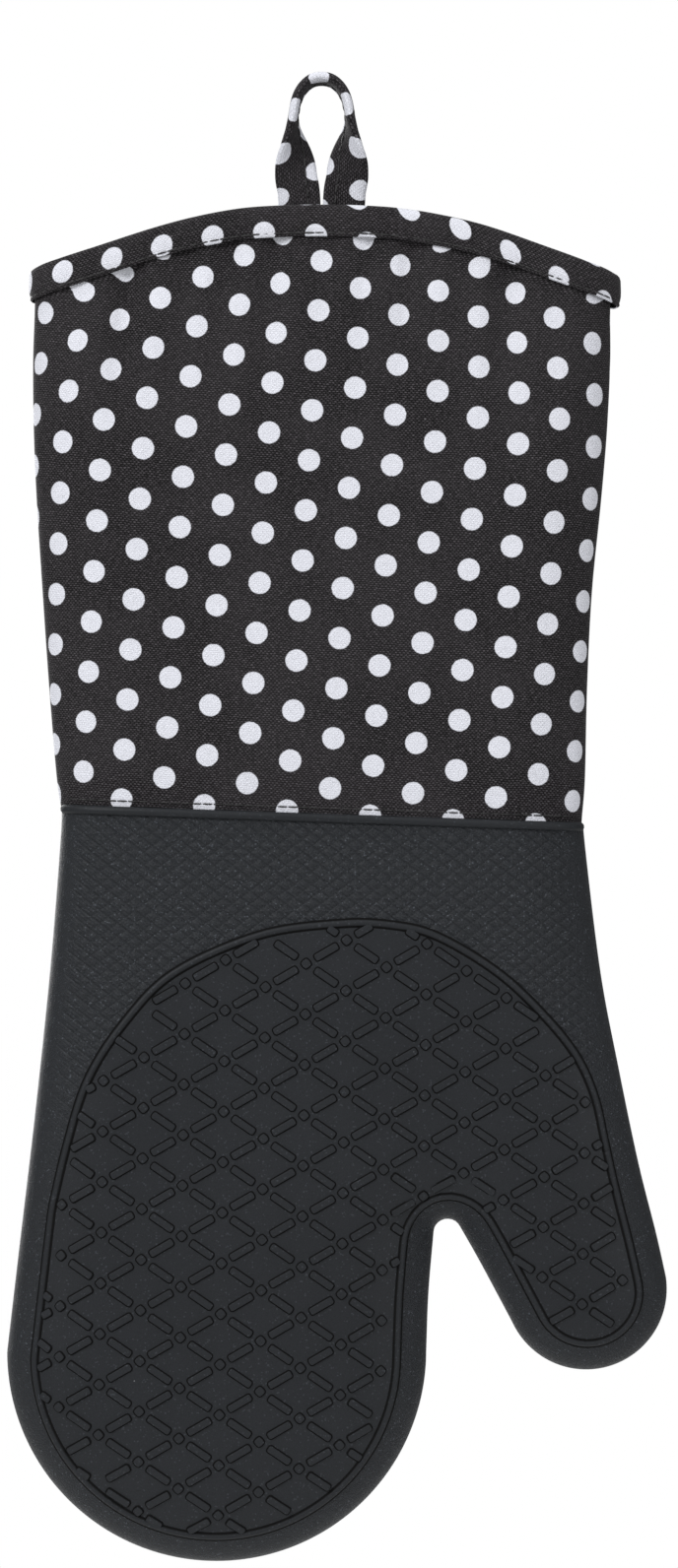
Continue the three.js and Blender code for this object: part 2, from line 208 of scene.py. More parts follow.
def distance_along(points):
    """How far along a line each of its points lies."""
    steps = np.linalg.norm(np.diff(points, axis=0), axis=1)
    return np.concatenate(([0], np.cumsum(steps)))


def values_at(wanted, along, values):
    """Points or directions known at some distances along a line, read at others."""
    return np.column_stack([np.interp(wanted, along, column) for column in values.T])


def evenly(points, spacing):
    """The same line with its points a steady distance apart."""
    along = distance_along(points)
    count = max(2, int(round(along[-1] / spacing)) + 1)
    return values_at(np.linspace(0, along[-1], count), along, points)


def arc(circle, start, stop, spacing=1.0):
    """Points on part of a circle, from one angle to another in degrees."""
    x, z, radius = circle
    count = max(3, int(abs(math.radians(stop - start)) * radius / spacing))
    angles = np.radians(np.linspace(start, stop, count))
    return np.column_stack((x + radius * np.cos(angles), z + radius * np.sin(angles)))


def hand_outline():
    """The hand's edge, from above the seam on the left, round fingers and thumb, to the right."""
    left = smooth_curve(((-71.3, -185), (-71.0, -198), (-71.7, -211), (-74.3, -243), (-78.4, -282),
                         (-83.0, -321), (-86.0, -346.8)))
    crotch_left = (CROTCH[0] - CROTCH[2], CROTCH[1])
    inner = smooth_curve(((28.8, -346.8), (29.4, -331), crotch_left))
    over = arc(CROTCH, 180, 28, 0.6)
    thumb = arc(THUMB_TIP, 204, 368)
    web = smooth_curve((over[-1], (43.5, -322.3), thumb[0]))
    right = smooth_curve((thumb[-1], (91.8, -314.6), (86.9, -295.1), (81.5, -269.2), (76.6, -243.3),
                          (72.6, -211), (71.6, -198), (71.8, -185)))
    line = np.vstack((left[:-1], arc(FINGER_TIP, 180, 360)[:-1], inner[:-1], over[:-1], web[:-1],
                      thumb[:-1], right))
    return evenly(line, 1.0)


def inward(line):
    """Unit normals that point into the shape on the left of a line."""
    along = np.gradient(line, axis=0)
    along /= np.linalg.norm(along, axis=1)[:, None]
    return np.column_stack((-along[:, 1], along[:, 0]))


HAND_EDGE = hand_outline()


def edge_distance(points):
    """How far each point lies from the hand's edge."""
    points = np.asarray(points, float)
    found = np.empty(len(points))
    for start in range(0, len(points), 2000):
        part = points[start:start + 2000]
        apart = np.linalg.norm(part[:, None] - HAND_EDGE[None], axis=2)
        found[start:start + 2000] = apart.min(axis=1)
    return found


def roll(share):
    """How full the section is, from 0 at an edge to 1 where it has rolled over to the face."""
    inside = np.clip(share, 0, 1)
    return (1 - (1 - inside) ** ROLL_POWER) ** (1 / ROLL_POWER)


def smoothstep(value, low, high):
    t = np.clip((value - low) / (high - low), 0, 1)
    return t * t * (3 - 2 * t)


def hand_half_depth(points, inset=0.0):
    """Half the hand's depth at points (x, z), for a layer that lies an inset inside the surface."""
    points = np.asarray(points, float)
    x, z = points[:, 0], points[:, 1]
    away = edge_distance(points)
    half = sizes().hand_depth / MM / 2
    full = half - 0.9 * smoothstep(z, -225, -200) - 0.7 * smoothstep(-z, 340, 400)
    full = full - 1.4 * smoothstep(x, 45, 70) * smoothstep(-z, 290, 315)
    sway = 0.28 * np.sin(x * 0.061 + z * 0.023 + 0.6) + 0.22 * np.sin(z * 0.072 - x * 0.031)
    reach = sizes().edge_roll / MM
    body = (full - inset) * roll((away - inset) / (reach - inset * 0.4))
    return body + sway * smoothstep(away, 4 + inset, 22)


def seam_height(x):
    return SEAM_LEVEL - x * SEAM_SLOPE


MOUTH_EDGE = smooth_curve(((-95, -56.2), (-79, -50.6), (-71, -48.3), (-62, -45.5), (-46, -40.3),
                           (-34, -37.1), (-22, -34.9), (-11, -34.1), (0, -33.9), (11, -34.1),
                           (22, -34.9), (34, -36.9), (46, -39.9), (62, -45.5), (71, -48.7),
                           (79, -51.4), (95, -57.5)))


def mouth_height(x):
    return np.interp(x, MOUTH_EDGE[:, 0], MOUTH_EDGE[:, 1])


CUFF_LEFT = smooth_curve(((-79.0, -40), (-78.4, -58), (-78.9, -76), (-78.7, -95), (-77.9, -114),
                          (-76.3, -139), (-74.5, -165), (-72.4, -190), (-71.0, -200), (-70.9, -212)))
CUFF_RIGHT = smooth_curve(((79.6, -40), (79.2, -62), (79.2, -76), (78.3, -95), (76.7, -114),
                           (74.2, -139), (72.9, -165), (72.3, -190), (71.4, -202), (71.3, -212)))


def cuff_sides(z):
    """The cuff's left and right edges at a height."""
    left = np.interp(-z, -CUFF_LEFT[:, 1], CUFF_LEFT[:, 0])
    right = np.interp(-z, -CUFF_RIGHT[:, 1], CUFF_RIGHT[:, 0])
    return left, right


def cuff_half_depth(x, z, inset=0.0):
    """Half the cuff's depth at a place, for a layer that lies an inset inside the cloth."""
    left, right = cuff_sides(z)
    away = np.minimum(x - left, right - x) - inset
    down = smoothstep(-z, 40, 190)
    half = sizes().mouth_depth / MM / 2
    wrist = sizes().hand_depth / MM / 2 - 0.9 - CLOTH_STEP
    full = half + (wrist - half) * down - inset
    reach = (14 + 13 * down) - inset * 0.4
    return full * roll(away / reach)


# Where the cloth gathers under the binding: place across, width and depth of each fold.
PUCKERS = ((-67, 3.6, 1.2), (-51, 3.3, 3.0), (-36, 3.6, 1.2), (-24.5, 3.2, 2.0), (-11.5, 3.2, 2.8),
           (3, 3.6, 0.9), (14, 3.2, 2.2), (26, 3.4, 2.6), (39, 3.6, 1.2), (52, 3.3, 3.0), (65, 3.4, 1.4))


def cloth_swell(x, z, side):
    """How far the padded cloth stands out of its plain section: swells between gathers and seams."""
    below = mouth_height(x) - z
    held = smoothstep(below, 6, 26)
    above = z - seam_height(x)
    seamed = smoothstep(above, 1.5, 16)
    swell = 1.5 * held * (1 - smoothstep(below, 30, 120)) * seamed + 0.9 * seamed * held
    fade = smoothstep(below, 5, 11) * (1 - smoothstep(below, 14, 66))
    folds = np.zeros_like(x, dtype=float)
    for place, width, depth in PUCKERS:
        lean = place + (0.05 * side - 0.04) * below
        folds -= depth * np.exp(-((x - lean) / width) ** 2)
    waves = 0.35 * np.sin(x * 0.085 + z * 0.03 + side) * np.sin(z * 0.05 + 1.3) * seamed * held
    tucks = 0.25 * np.sin(x * 0.42 + side) * (1 - smoothstep(above, 2, 14)) * smoothstep(above, 0.5, 3)
    left, right = cuff_sides(z)
    flat = smoothstep(np.minimum(x - left, right - x), 3, 20)
    return (swell + folds * fade + waves + tucks) * flat


# ---------------------------------------------------------------- making meshes


def make_object(name, points, faces, attributes=None):
    """A mesh object from points in millimetres. Each point keeps its place at rest for the materials."""
    points = np.asarray(points, float)
    mesh = bpy.data.meshes.new(name)
    mesh.from_pydata((points * MM).tolist(), [], [list(map(int, face)) for face in faces])
    for key, values in {"rest_mm": points, **(attributes or {})}.items():
        values = np.asarray(values, np.float32)
        kind = "FLOAT" if values.ndim == 1 else "FLOAT_VECTOR"
        field = "value" if values.ndim == 1 else "vector"
        mesh.attributes.new(key, kind, "POINT").data.foreach_set(field, values.ravel())
    mesh.polygons.foreach_set("use_smooth", [True] * len(mesh.polygons))
    mesh.validate()
    return link_new(name, mesh)


def link_new(name, data):
    """A new object, linked into the scene."""
    made = bpy.data.objects.new(name, data)
    bpy.context.scene.collection.objects.link(made)
    return made


def grid_faces(rows, columns, offset=0, close_rows=False, close_columns=False, flip=False):
    """Quads between the points of a grid stored row by row."""
    faces = []
    for row in range(rows if close_rows else rows - 1):
        for column in range(columns if close_columns else columns - 1):
            a = offset + row * columns + column
            b = offset + row * columns + (column + 1) % columns
            c = offset + (row + 1) % rows * columns + (column + 1) % columns
            d = offset + (row + 1) % rows * columns + column
            faces.append((a, d, c, b) if flip else (a, b, c, d))
    return faces


def outward(made):
    """Turns every face outwards."""
    shape = bmesh.new()
    shape.from_mesh(made.data)
    bmesh.ops.recalc_face_normals(shape, faces=shape.faces)
    shape.to_mesh(made.data)
    shape.free()


def cut_above_seam(made, raise_by=0.0):
    """Removes what lies above the tilted seam."""
    shape = bmesh.new()
    shape.from_mesh(made.data)
    bmesh.ops.bisect_plane(
        shape, geom=shape.verts[:] + shape.edges[:] + shape.faces[:], dist=1e-7,
        plane_co=(0, 0, (SEAM_LEVEL + raise_by) * MM), plane_no=(SEAM_SLOPE, 0, 1), clear_outer=True,
    )
    shape.to_mesh(made.data)
    shape.free()


def end_caps(count, sides):
    """The two faces that close the ends of a tube."""
    return [tuple(range(sides)), tuple(range(count * sides - 1, (count - 1) * sides - 1, -1))]


def sweep(path, across, outwards, section, closed=False):
    """Points and faces of a tube along a path: each section point is (across, outwards)."""
    section = np.asarray(section, float)
    rings = path[:, None] + across[:, None] * section[None, :, :1]
    rings = rings + outwards[:, None] * section[None, :, 1:]
    count, sides = len(path), len(section)
    faces = grid_faces(count, sides, close_rows=closed, close_columns=True)
    if not closed:
        faces += end_caps(count, sides)
    return rings.reshape(-1, 3), faces


def unit(vectors):
    return vectors / np.linalg.norm(vectors, axis=-1, keepdims=True)


def join_parts(parts):
    """One list of points and one of faces from many."""
    points, faces, start = [], [], 0
    for part_points, part_faces in parts:
        points.append(part_points)
        faces += [tuple(index + start for index in face) for face in part_faces]
        start += len(part_points)
    return np.vstack(points), faces


# ---------------------------------------------------------------- shader building


def add_node(tree, kind, inputs=None, **settings):
    """A node with its settings, and its inputs linked or set."""
    node = tree.nodes.new(kind)
    for key, value in settings.items():
        setattr(node, key, value)
    for key, value in (inputs or {}).items():
        if isinstance(value, bpy.types.NodeSocket):
            tree.links.new(value, node.inputs[key])
        else:
            node.inputs[key].default_value = value
    return node


def maths(tree, operation, *values):
    node = add_node(tree, "ShaderNodeMath", dict(enumerate(values)), operation=operation)
    return node.outputs[0]


def vector_maths(tree, operation, *values):
    node = add_node(tree, "ShaderNodeVectorMath", dict(enumerate(values)), operation=operation)
    return node.outputs["Value" if operation in ("DOT_PRODUCT", "LENGTH") else "Vector"]


def blend_colours(tree, factor, first, second):
    inputs = {0: factor, 6: first, 7: second}
    return add_node(tree, "ShaderNodeMix", inputs, data_type="RGBA").outputs[2]


def noise(tree, place, scale, detail, output="Fac"):
    """Smooth noise, as a value or as a colour."""
    inputs = {"Vector": place, "Scale": scale, "Detail": detail}
    return add_node(tree, "ShaderNodeTexNoise", inputs).outputs[output]


def add_bump(tree, shader, height, strength, distance):
    """Makes a surface catch the light as if it rose and fell with a height."""
    bump = add_node(tree, "ShaderNodeBump", {"Height": height, "Strength": strength, "Distance": distance})
    tree.links.new(bump.outputs[0], shader.inputs["Normal"])


def step_up(tree, value, low, high):
    """Rises smoothly from 0 to 1 between two values."""
    node = add_node(
        tree, "ShaderNodeMapRange",
        {"Value": value, "From Min": low, "From Max": high}, interpolation_type="SMOOTHSTEP",
    )
    return node.outputs[0]


def new_group(name, inputs, outputs):
    """An empty shader node group with named sockets, and its input and output nodes."""
    tree = bpy.data.node_groups.new(name, "ShaderNodeTree")
    for label, kind, value in inputs:
        socket = tree.interface.new_socket(label, in_out="INPUT", socket_type=kind)
        if value is not None:
            socket.default_value = value
    for label, kind in outputs:
        tree.interface.new_socket(label, in_out="OUTPUT", socket_type=kind)
    return tree, tree.nodes.new("NodeGroupInput"), tree.nodes.new("NodeGroupOutput")


def dot_print_group():
    """A lattice of round dots: a mask that is 1 inside a dot."""
    tree, inside, out = new_group(
        "Dot Print",
        [("Place", "NodeSocketVector", None), ("Step A", "NodeSocketVector", (10, 0, 0)),
         ("Step B", "NodeSocketVector", (0, 10, 0)), ("Origin", "NodeSocketVector", (0, 0, 0)),
         ("Radius", "NodeSocketFloat", 3.0), ("Fuzz", "NodeSocketFloat", 0.12)],
        [("Dot", "NodeSocketFloat")],
    )
    laid = inside.outputs["Place"]
    wobble = noise(tree, laid, 1.4, 2.0, "Color")
    shaken = vector_maths(tree, "MULTIPLY_ADD", wobble, (0.3, 0.3, 0), laid)
    place = vector_maths(tree, "SUBTRACT", shaken, inside.outputs["Origin"])
    place = vector_maths(tree, "SUBTRACT", place, (0.15, 0.15, 0))
    step_a, step_b = inside.outputs["Step A"], inside.outputs["Step B"]
    normal = vector_maths(tree, "CROSS_PRODUCT", step_a, step_b)
    size = vector_maths(tree, "DOT_PRODUCT", normal, (0, 0, 1))
    across_a = vector_maths(tree, "CROSS_PRODUCT", step_b, (0, 0, 1))
    across_b = vector_maths(tree, "CROSS_PRODUCT", (0, 0, 1), step_a)
    nearest = None
    for across, step in ((across_a, step_a), (across_b, step_b)):
        count = maths(tree, "DIVIDE", vector_maths(tree, "DOT_PRODUCT", place, across), size)
        whole = maths(tree, "ROUND", count)
        node = add_node(tree, "ShaderNodeVectorMath", {0: step, "Scale": whole}, operation="SCALE")
        steps = node.outputs[0]
        nearest = steps if nearest is None else vector_maths(tree, "ADD", nearest, steps)
    apart = vector_maths(tree, "LENGTH", vector_maths(tree, "SUBTRACT", place, nearest))
    edge = maths(tree, "SUBTRACT", inside.outputs["Radius"], apart)
    node = add_node(tree, "ShaderNodeMapRange", {"Value": edge}, interpolation_type="SMOOTHSTEP")
    tree.links.new(inside.outputs["Fuzz"], node.inputs["From Max"])
    tree.links.new(maths(tree, "MULTIPLY", inside.outputs["Fuzz"], -1.0), node.inputs["From Min"])
    tree.links.new(node.outputs[0], out.inputs["Dot"])
    return tree


def plain_weave_group():
    """A plain weave: a height for the threads, which also sets the cotton's painted thread highlight, and a
    mask of the gaps between them, darkened as painted shade.
    """
    tree, inside, out = new_group(
        "Plain Weave",
        [("Place", "NodeSocketVector", None), ("Thread", "NodeSocketFloat", 0.5)],
        [("Height", "NodeSocketFloat"), ("Gap", "NodeSocketFloat")],
    )
    laid = inside.outputs["Place"]
    drift = noise(tree, laid, 0.35, 3.0, "Color")
    moved = vector_maths(tree, "MULTIPLY_ADD", drift, (0.5, 0.9, 0), laid)
    split = add_node(tree, "ShaderNodeSeparateXYZ", {0: moved})
    level = maths(tree, "MULTIPLY_ADD", split.outputs[0], 0.06, split.outputs[1])
    waves = []
    for place, share in ((split.outputs[0], 1.04), (level, 0.96)):
        turns = maths(tree, "DIVIDE", place, inside.outputs["Thread"])
        waves.append(maths(tree, "COSINE", maths(tree, "MULTIPLY", turns, math.pi * share)))
    # The weft's beads lie like bricks, each row half a bead along from the last, with the warp between.
    bead = maths(tree, "MULTIPLY", waves[0], maths(tree, "SIGN", waves[1]))
    row = step_up(tree, maths(tree, "ABSOLUTE", waves[1]), 0.2, 0.8)
    weft = maths(tree, "MULTIPLY", step_up(tree, bead, -0.8, 0.1), row)
    warp = maths(tree, "MULTIPLY", step_up(tree, maths(tree, "MULTIPLY", bead, -1.0), 0.75, 1.0), row)
    drawn = vector_maths(tree, "MULTIPLY", laid, (0.9, 1.7, 1.0))
    full = step_up(tree, noise(tree, drawn, 1.0, 3.0), 0.3, 0.7)
    height = maths(tree, "MAXIMUM", weft, maths(tree, "MULTIPLY", warp, 0.4))
    height = maths(tree, "MULTIPLY", height, maths(tree, "MULTIPLY_ADD", full, 0.7, 0.3))
    gaps = maths(tree, "SUBTRACT", 1.0, step_up(tree, height, 0.02, 0.3))
    tree.links.new(height, out.inputs["Height"])
    tree.links.new(gaps, out.inputs["Gap"])
    return tree


def lint_group():
    """Fine lint and dust: a mask of small pale specks, few and uneven."""
    tree, inside, out = new_group(
        "Lint",
        [("Place", "NodeSocketVector", None), ("Spacing", "NodeSocketFloat", 5.0),
         ("Size", "NodeSocketFloat", 0.09)],
        [("Speck", "NodeSocketFloat")],
    )
    scale = maths(tree, "DIVIDE", 1.0, inside.outputs["Spacing"])
    cells = add_node(tree, "ShaderNodeTexVoronoi", {"Vector": inside.outputs["Place"], "Scale": scale})
    reach = maths(tree, "MULTIPLY", cells.outputs["Distance"], inside.outputs["Spacing"])
    split = add_node(tree, "ShaderNodeSeparateColor", {0: cells.outputs["Color"]})
    chosen = step_up(tree, split.outputs[0], 0.55, 0.62)
    wide = maths(tree, "MULTIPLY", split.outputs[1], inside.outputs["Size"])
    speck = maths(tree, "MULTIPLY", maths(tree, "LESS_THAN", reach, wide), chosen)
    tree.links.new(speck, out.inputs["Speck"])
    return tree


def grain_group():
    """The pebbled grain of a moulded surface: a height, and a mask of grains that catch the light."""
    tree, inside, out = new_group(
        "Mould Grain",
        [("Place", "NodeSocketVector", None), ("Grain", "NodeSocketFloat", 0.4)],
        [("Height", "NodeSocketFloat"), ("Glint", "NodeSocketFloat")],
    )
    scale = maths(tree, "DIVIDE", 1.0, inside.outputs["Grain"])
    cells = add_node(
        tree, "ShaderNodeTexVoronoi",
        {"Vector": inside.outputs["Place"], "Scale": scale, "Smoothness": 0.5}, feature="SMOOTH_F1",
    )
    rough = noise(tree, inside.outputs["Place"], 3.5, 4.0)
    domes = maths(tree, "SUBTRACT", 1.0, cells.outputs[0])
    height = maths(tree, "MULTIPLY_ADD", rough, 0.7, domes)
    split = add_node(tree, "ShaderNodeSeparateColor", {0: cells.outputs["Color"]})
    tree.links.new(height, out.inputs["Height"])
    tree.links.new(step_up(tree, split.outputs[0], 0.9, 0.97), out.inputs["Glint"])
    return tree


def knurl_group():
    """Rows of small raised diamonds: a height."""
    tree, inside, out = new_group(
        "Knurl",
        [("Place", "NodeSocketVector", None), ("Pitch", "NodeSocketFloat", 3.5)],
        [("Height", "NodeSocketFloat")],
    )
    split = add_node(tree, "ShaderNodeSeparateXYZ", {0: inside.outputs["Place"]})
    turns = []
    for slope in (0.73, -0.73):
        line = maths(tree, "MULTIPLY_ADD", split.outputs[0], slope, split.outputs[2])
        turns.append(maths(tree, "DIVIDE", line, inside.outputs["Pitch"]))
    ridges = [
        maths(tree, "ABSOLUTE", maths(tree, "SINE", maths(tree, "MULTIPLY", turn, math.pi * repeats)))
        for turn, repeats in ((turns[0], 1), (turns[1], 1), (turns[0], 3))
    ]
    diamonds = maths(tree, "MINIMUM", ridges[0], ridges[1])
    tree.links.new(maths(tree, "MULTIPLY_ADD", ridges[2], 0.3, diamonds), out.inputs["Height"])
    return tree


GROUPS = {}


def use_group(tree, name, inputs):
    return add_node(tree, "ShaderNodeGroup", inputs, node_tree=GROUPS[name])


def new_material(name):
    material = bpy.data.materials.new(name)
    material.use_nodes = True
    tree = material.node_tree
    return material, tree, tree.nodes["Principled BSDF"]


def attribute(tree, name, output="Vector"):
    return add_node(tree, "ShaderNodeAttribute", attribute_name=name).outputs[output]


def shade(colour, factor=1.0):
    return (*[channel * factor for channel in colour], 1.0)


def silicone_material():
    """Matt charcoal silicone: smooth inside the grip zone, finely pebbled outside it."""
    material, tree, skin = new_material("Charcoal Silicone")
    place = attribute(tree, "rest_mm")
    zone = attribute(tree, "grip_zone", "Fac")
    grain = use_group(tree, "Mould Grain", {"Place": place, "Grain": 0.42})
    lint = use_group(tree, "Lint", {"Place": place, "Spacing": 7.0, "Size": 0.24})
    cloud = noise(tree, place, 0.03, 3.0)
    outside = maths(tree, "SUBTRACT", 1.0, zone)
    base = colours().silicone
    tone = blend_colours(tree, cloud, shade(base, 0.9), shade(base, 1.12))
    # Darker inside the grip zone, and on the border, grip marks and rim, which are marked as grip zone.
    darker_grip_tone_and_painted_fold_shade = blend_colours(tree, cloud, shade(base, 0.72), shade(base, 0.92))
    tone = blend_colours(tree, zone, tone, darker_grip_tone_and_painted_fold_shade)
    pebble = maths(tree, "MULTIPLY", step_up(tree, grain.outputs["Height"], 0.75, 1.3), 0.8)
    pebble = maths(tree, "MULTIPLY", pebble, maths(tree, "MULTIPLY_ADD", outside, 0.5, 0.5))
    tone = blend_colours(tree, pebble, tone, shade(base, 0.4))
    glint = maths(tree, "MULTIPLY", grain.outputs["Glint"], maths(tree, "MULTIPLY_ADD", outside, 0.3, 0.3))
    tone = blend_colours(tree, glint, tone, shade(base, 4.5))
    tone = blend_colours(tree, maths(tree, "MULTIPLY", lint.outputs[0], 0.5), tone, (0.2, 0.21, 0.22, 1))
    # Painted shade: the near-black skirt round each grip mark and along the border's foot stands in for the
    # shadow in the groove there.
    painted_groove_shade = attribute(tree, "painted_groove_shade", "Fac")
    tone = blend_colours(tree, painted_groove_shade, tone, (0.0008, 0.0008, 0.0008, 1))
    tree.links.new(tone, skin.inputs["Base Color"])
    rough = maths(tree, "MULTIPLY_ADD", cloud, 0.12, 0.48)
    rough = maths(tree, "MULTIPLY_ADD", painted_groove_shade, 0.4, rough)
    tree.links.new(rough, skin.inputs["Roughness"])
    skin.inputs["Specular IOR Level"].default_value = 0.16
    knurl = use_group(tree, "Knurl", {"Place": place, "Pitch": 3.5})
    band = attribute(tree, "knurl_zone", "Fac")
    pattern = maths(tree, "MULTIPLY", knurl.outputs["Height"], band)
    height = maths(tree, "MULTIPLY_ADD", outside, 0.85, 0.15)
    raised = maths(tree, "MULTIPLY", pattern, 2.3)
    height = maths(tree, "MULTIPLY_ADD", grain.outputs["Height"], height, raised)
    add_bump(tree, skin, height, 0.9, 0.0002)
    return material


def printed_cotton_material(name, steps, origin, thread=0.55):
    """Black plain-woven cotton printed with pale dots."""
    material, tree, cloth = new_material(name)
    place = attribute(tree, "weave_mm")
    rest = attribute(tree, "rest_mm")
    dots = use_group(tree, "Dot Print", {
        "Place": place, "Step A": (*steps[0], 0), "Step B": (*steps[1], 0), "Origin": (*origin, 0),
        "Radius": sizes().dot_radius / MM, "Fuzz": 0.16,
    })
    weave = use_group(tree, "Plain Weave", {"Place": place, "Thread": thread})
    lint = use_group(tree, "Lint", {"Place": rest, "Spacing": 6.0, "Size": 0.2})
    ground, pale = colours().cloth, colours().dots
    # Painted highlight and shade of the weave: thread tops painted 3.4 to 5.6 times the ground colour,
    # brighter along slubby streaks, and the gaps far darker.
    streak = noise(tree, vector_maths(tree, "MULTIPLY", place, (0.5, 2.2, 1.0)), 1.0, 3.0)
    slubbed_thread_highlight = step_up(tree, streak, 0.35, 0.7)
    slubbed_thread_highlight = blend_colours(tree, slubbed_thread_highlight, shade(ground, 3.4), shade(ground, 5.6))
    # Painted shade: soft random patches where the gaps between threads are darker, standing in for the
    # shade of faint folds in the cloth.
    darker_grip_tone_and_painted_fold_shade = step_up(tree, noise(tree, rest, 0.045, 2.0), 0.35, 0.65)
    low = blend_colours(tree, darker_grip_tone_and_painted_fold_shade, shade(ground, 0.05), shade(ground, 0.45))
    dark = blend_colours(tree, weave.outputs["Height"], low, slubbed_thread_highlight)
    # Painted shade: the dots darker in the gaps between threads.
    print_tone = blend_colours(
        tree, maths(tree, "MULTIPLY", weave.outputs["Gap"], 0.3), shade(pale), (0.3, 0.29, 0.34, 1)
    )
    tone = blend_colours(tree, dots.outputs["Dot"], dark, print_tone)
    tone = blend_colours(tree, maths(tree, "MULTIPLY", lint.outputs[0], 0.4), tone, (0.35, 0.35, 0.37, 1))
    tree.links.new(tone, cloth.inputs["Base Color"])
    cloth.inputs["Roughness"].default_value = 0.88
    cloth.inputs["Sheen Weight"].default_value = 0.03
    cloth.inputs["Sheen Roughness"].default_value = 0.5
    cloth.inputs["Specular IOR Level"].default_value = 0.1
    add_bump(tree, cloth, weave.outputs["Height"], 0.7, 0.0002)
    return material


def thread_material():
    """Black twisted polyester sewing thread."""
    material, tree, thread = new_material("Sewing Thread")
    place = attribute(tree, "rest_mm")
    twist = add_node(
        tree, "ShaderNodeTexWave", {"Vector": place, "Scale": 1.6, "Distortion": 1.5},
        bands_direction="DIAGONAL",
    )
    base = colours().thread
    # Painted highlight and shade: the thread lighter and darker in bands along its twist.
    tone = blend_colours(tree, twist.outputs[1], shade(base, 0.7), shade(base, 2.4))
    tree.links.new(tone, thread.inputs["Base Color"])
    thread.inputs["Roughness"].default_value = 0.5
    add_bump(tree, thread, twist.outputs[1], 0.5, 0.0001)
    return material


def lining_material():
    """Plain dark cotton lining."""
    material, tree, cloth = new_material("Lining Cotton")
    place = attribute(tree, "weave_mm")
    weave = use_group(tree, "Plain Weave", {"Place": place, "Thread": 0.42})
    base = colours().lining
    # Painted shade and highlight: the lining's gaps between threads darker and its threads lighter.
    tone = blend_colours(tree, weave.outputs["Gap"], shade(base, 1.3), shade(base, 0.6))
    tree.links.new(tone, cloth.inputs["Base Color"])
    cloth.inputs["Roughness"].default_value = 0.92
    add_bump(tree, cloth, weave.outputs["Height"], 0.5, 0.00015)
    return material


MATERIALS = {}


def finish_piece(made, material):
    made.data.materials.clear()
    made.data.materials.append(MATERIALS[material])
    return made


# ---------------------------------------------------------------- the soft pieces fixed in place, and the line across the thumb's base


def blend_wrist(made):
    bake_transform(made)


def blend_knuckles(made):
    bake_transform(made)


def thumb_line():
    """The gap's top, the direction along the thumb and the direction across it, all (x, z)."""
    axis = JOINTS["thumb_fold"]["axis"]
    across = np.array((axis[0], axis[2]))
    across /= np.linalg.norm(across)
    along = np.array((across[1], -across[0]))
    return np.array((CROTCH[0], CROTCH[1] + CROTCH[2])), along, across


def blend_thumb(made):
    top, along, _ = thumb_line()
    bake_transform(made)


def in_thumb(points):
    """Which points (x, z) lie beyond the line across the thumb's base."""
    top, along, _ = thumb_line()
    points = np.asarray(points, float)
    return ((points - top) @ along > 0) & (points[:, 0] > top[0])


def split_thumb(made, name):
    """Cuts a hand piece across the thumb's base. What lies beyond becomes a piece of its own."""
    top, along, _ = thumb_line()
    shape = bmesh.new()
    shape.from_mesh(made.data)
    near = [face for face in shape.faces if face.calc_center_median().x > (top[0] - 1) * MM]
    geometry = set(near)
    for face in near:
        geometry.update(face.edges)
        geometry.update(face.verts)
    bmesh.ops.bisect_plane(
        shape, geom=list(geometry), dist=1e-7,
        plane_co=(top[0] * MM, 0, top[1] * MM), plane_no=(along[0], 0, along[1]),
    )
    beyond = {face.index for face in index_faces(shape) if in_thumb(middle_of(face))[0]}
    thumb = shape.copy()
    for target, wanted in ((shape, False), (thumb, True)):
        gone = [face for face in index_faces(target) if (face.index in beyond) != wanted]
        bmesh.ops.delete(target, geom=gone, context="FACES")
    shape.to_mesh(made.data)
    mesh = bpy.data.meshes.new(name)
    thumb.to_mesh(mesh)
    shape.free()
    thumb.free()
    return link_new(name, mesh)


def index_faces(shape):
    shape.faces.index_update()
    shape.faces.ensure_lookup_table()
    return shape.faces


def middle_of(face):
    middle = face.calc_center_median() / MM
    return np.array(((middle.x, middle.z),))


# ---------------------------------------------------------------- the silicone hand


def hand_face(rings, spacing):
    """One face of the hand as points (x, z) and faces: rings inside the edge, then a filled middle."""
    normals = inward(HAND_EDGE)
    banded = np.vstack([HAND_EDGE + normals * ring for ring in rings])
    count = len(HAND_EDGE)
    faces = grid_faces(len(rings), count)
    inner = banded[-count:]
    low, high = inner.min(axis=0), inner.max(axis=0)
    xs, zs = np.meshgrid(np.arange(low[0], high[0], spacing), np.arange(low[1], high[1], spacing * 0.87))
    xs = xs + (np.arange(len(xs)) % 2)[:, None] * spacing / 2
    filling = np.column_stack((xs.ravel(), zs.ravel()))
    filling = filling[edge_distance(filling) > rings[-1] + spacing * 0.6]
    filling = filling[inside_line(filling, inner) & (filling[:, 1] < inner[0, 1] - spacing * 0.5)]
    points2 = [Vector(point) for point in np.vstack((inner, filling))]
    edges = [(index, (index + 1) % count) for index in range(count)]
    out, _, triangles, origins, _, _ = delaunay_2d_cdt(points2, edges, [], 1, 1e-6)
    extra = np.array([[point.x, point.y] for point in out])
    start = (len(rings) - 1) * count
    total = len(banded)
    where = {}
    added = []
    for index, source in enumerate(origins):
        edge_source = [item for item in source if item < count]
        if edge_source:
            where[index] = start + edge_source[0]
        else:
            where[index] = total + len(added)
            added.append(extra[index])
    points = np.vstack((banded, np.array(added)))
    faces += [tuple(where[index] for index in triangle) for triangle in triangles]
    return points, faces


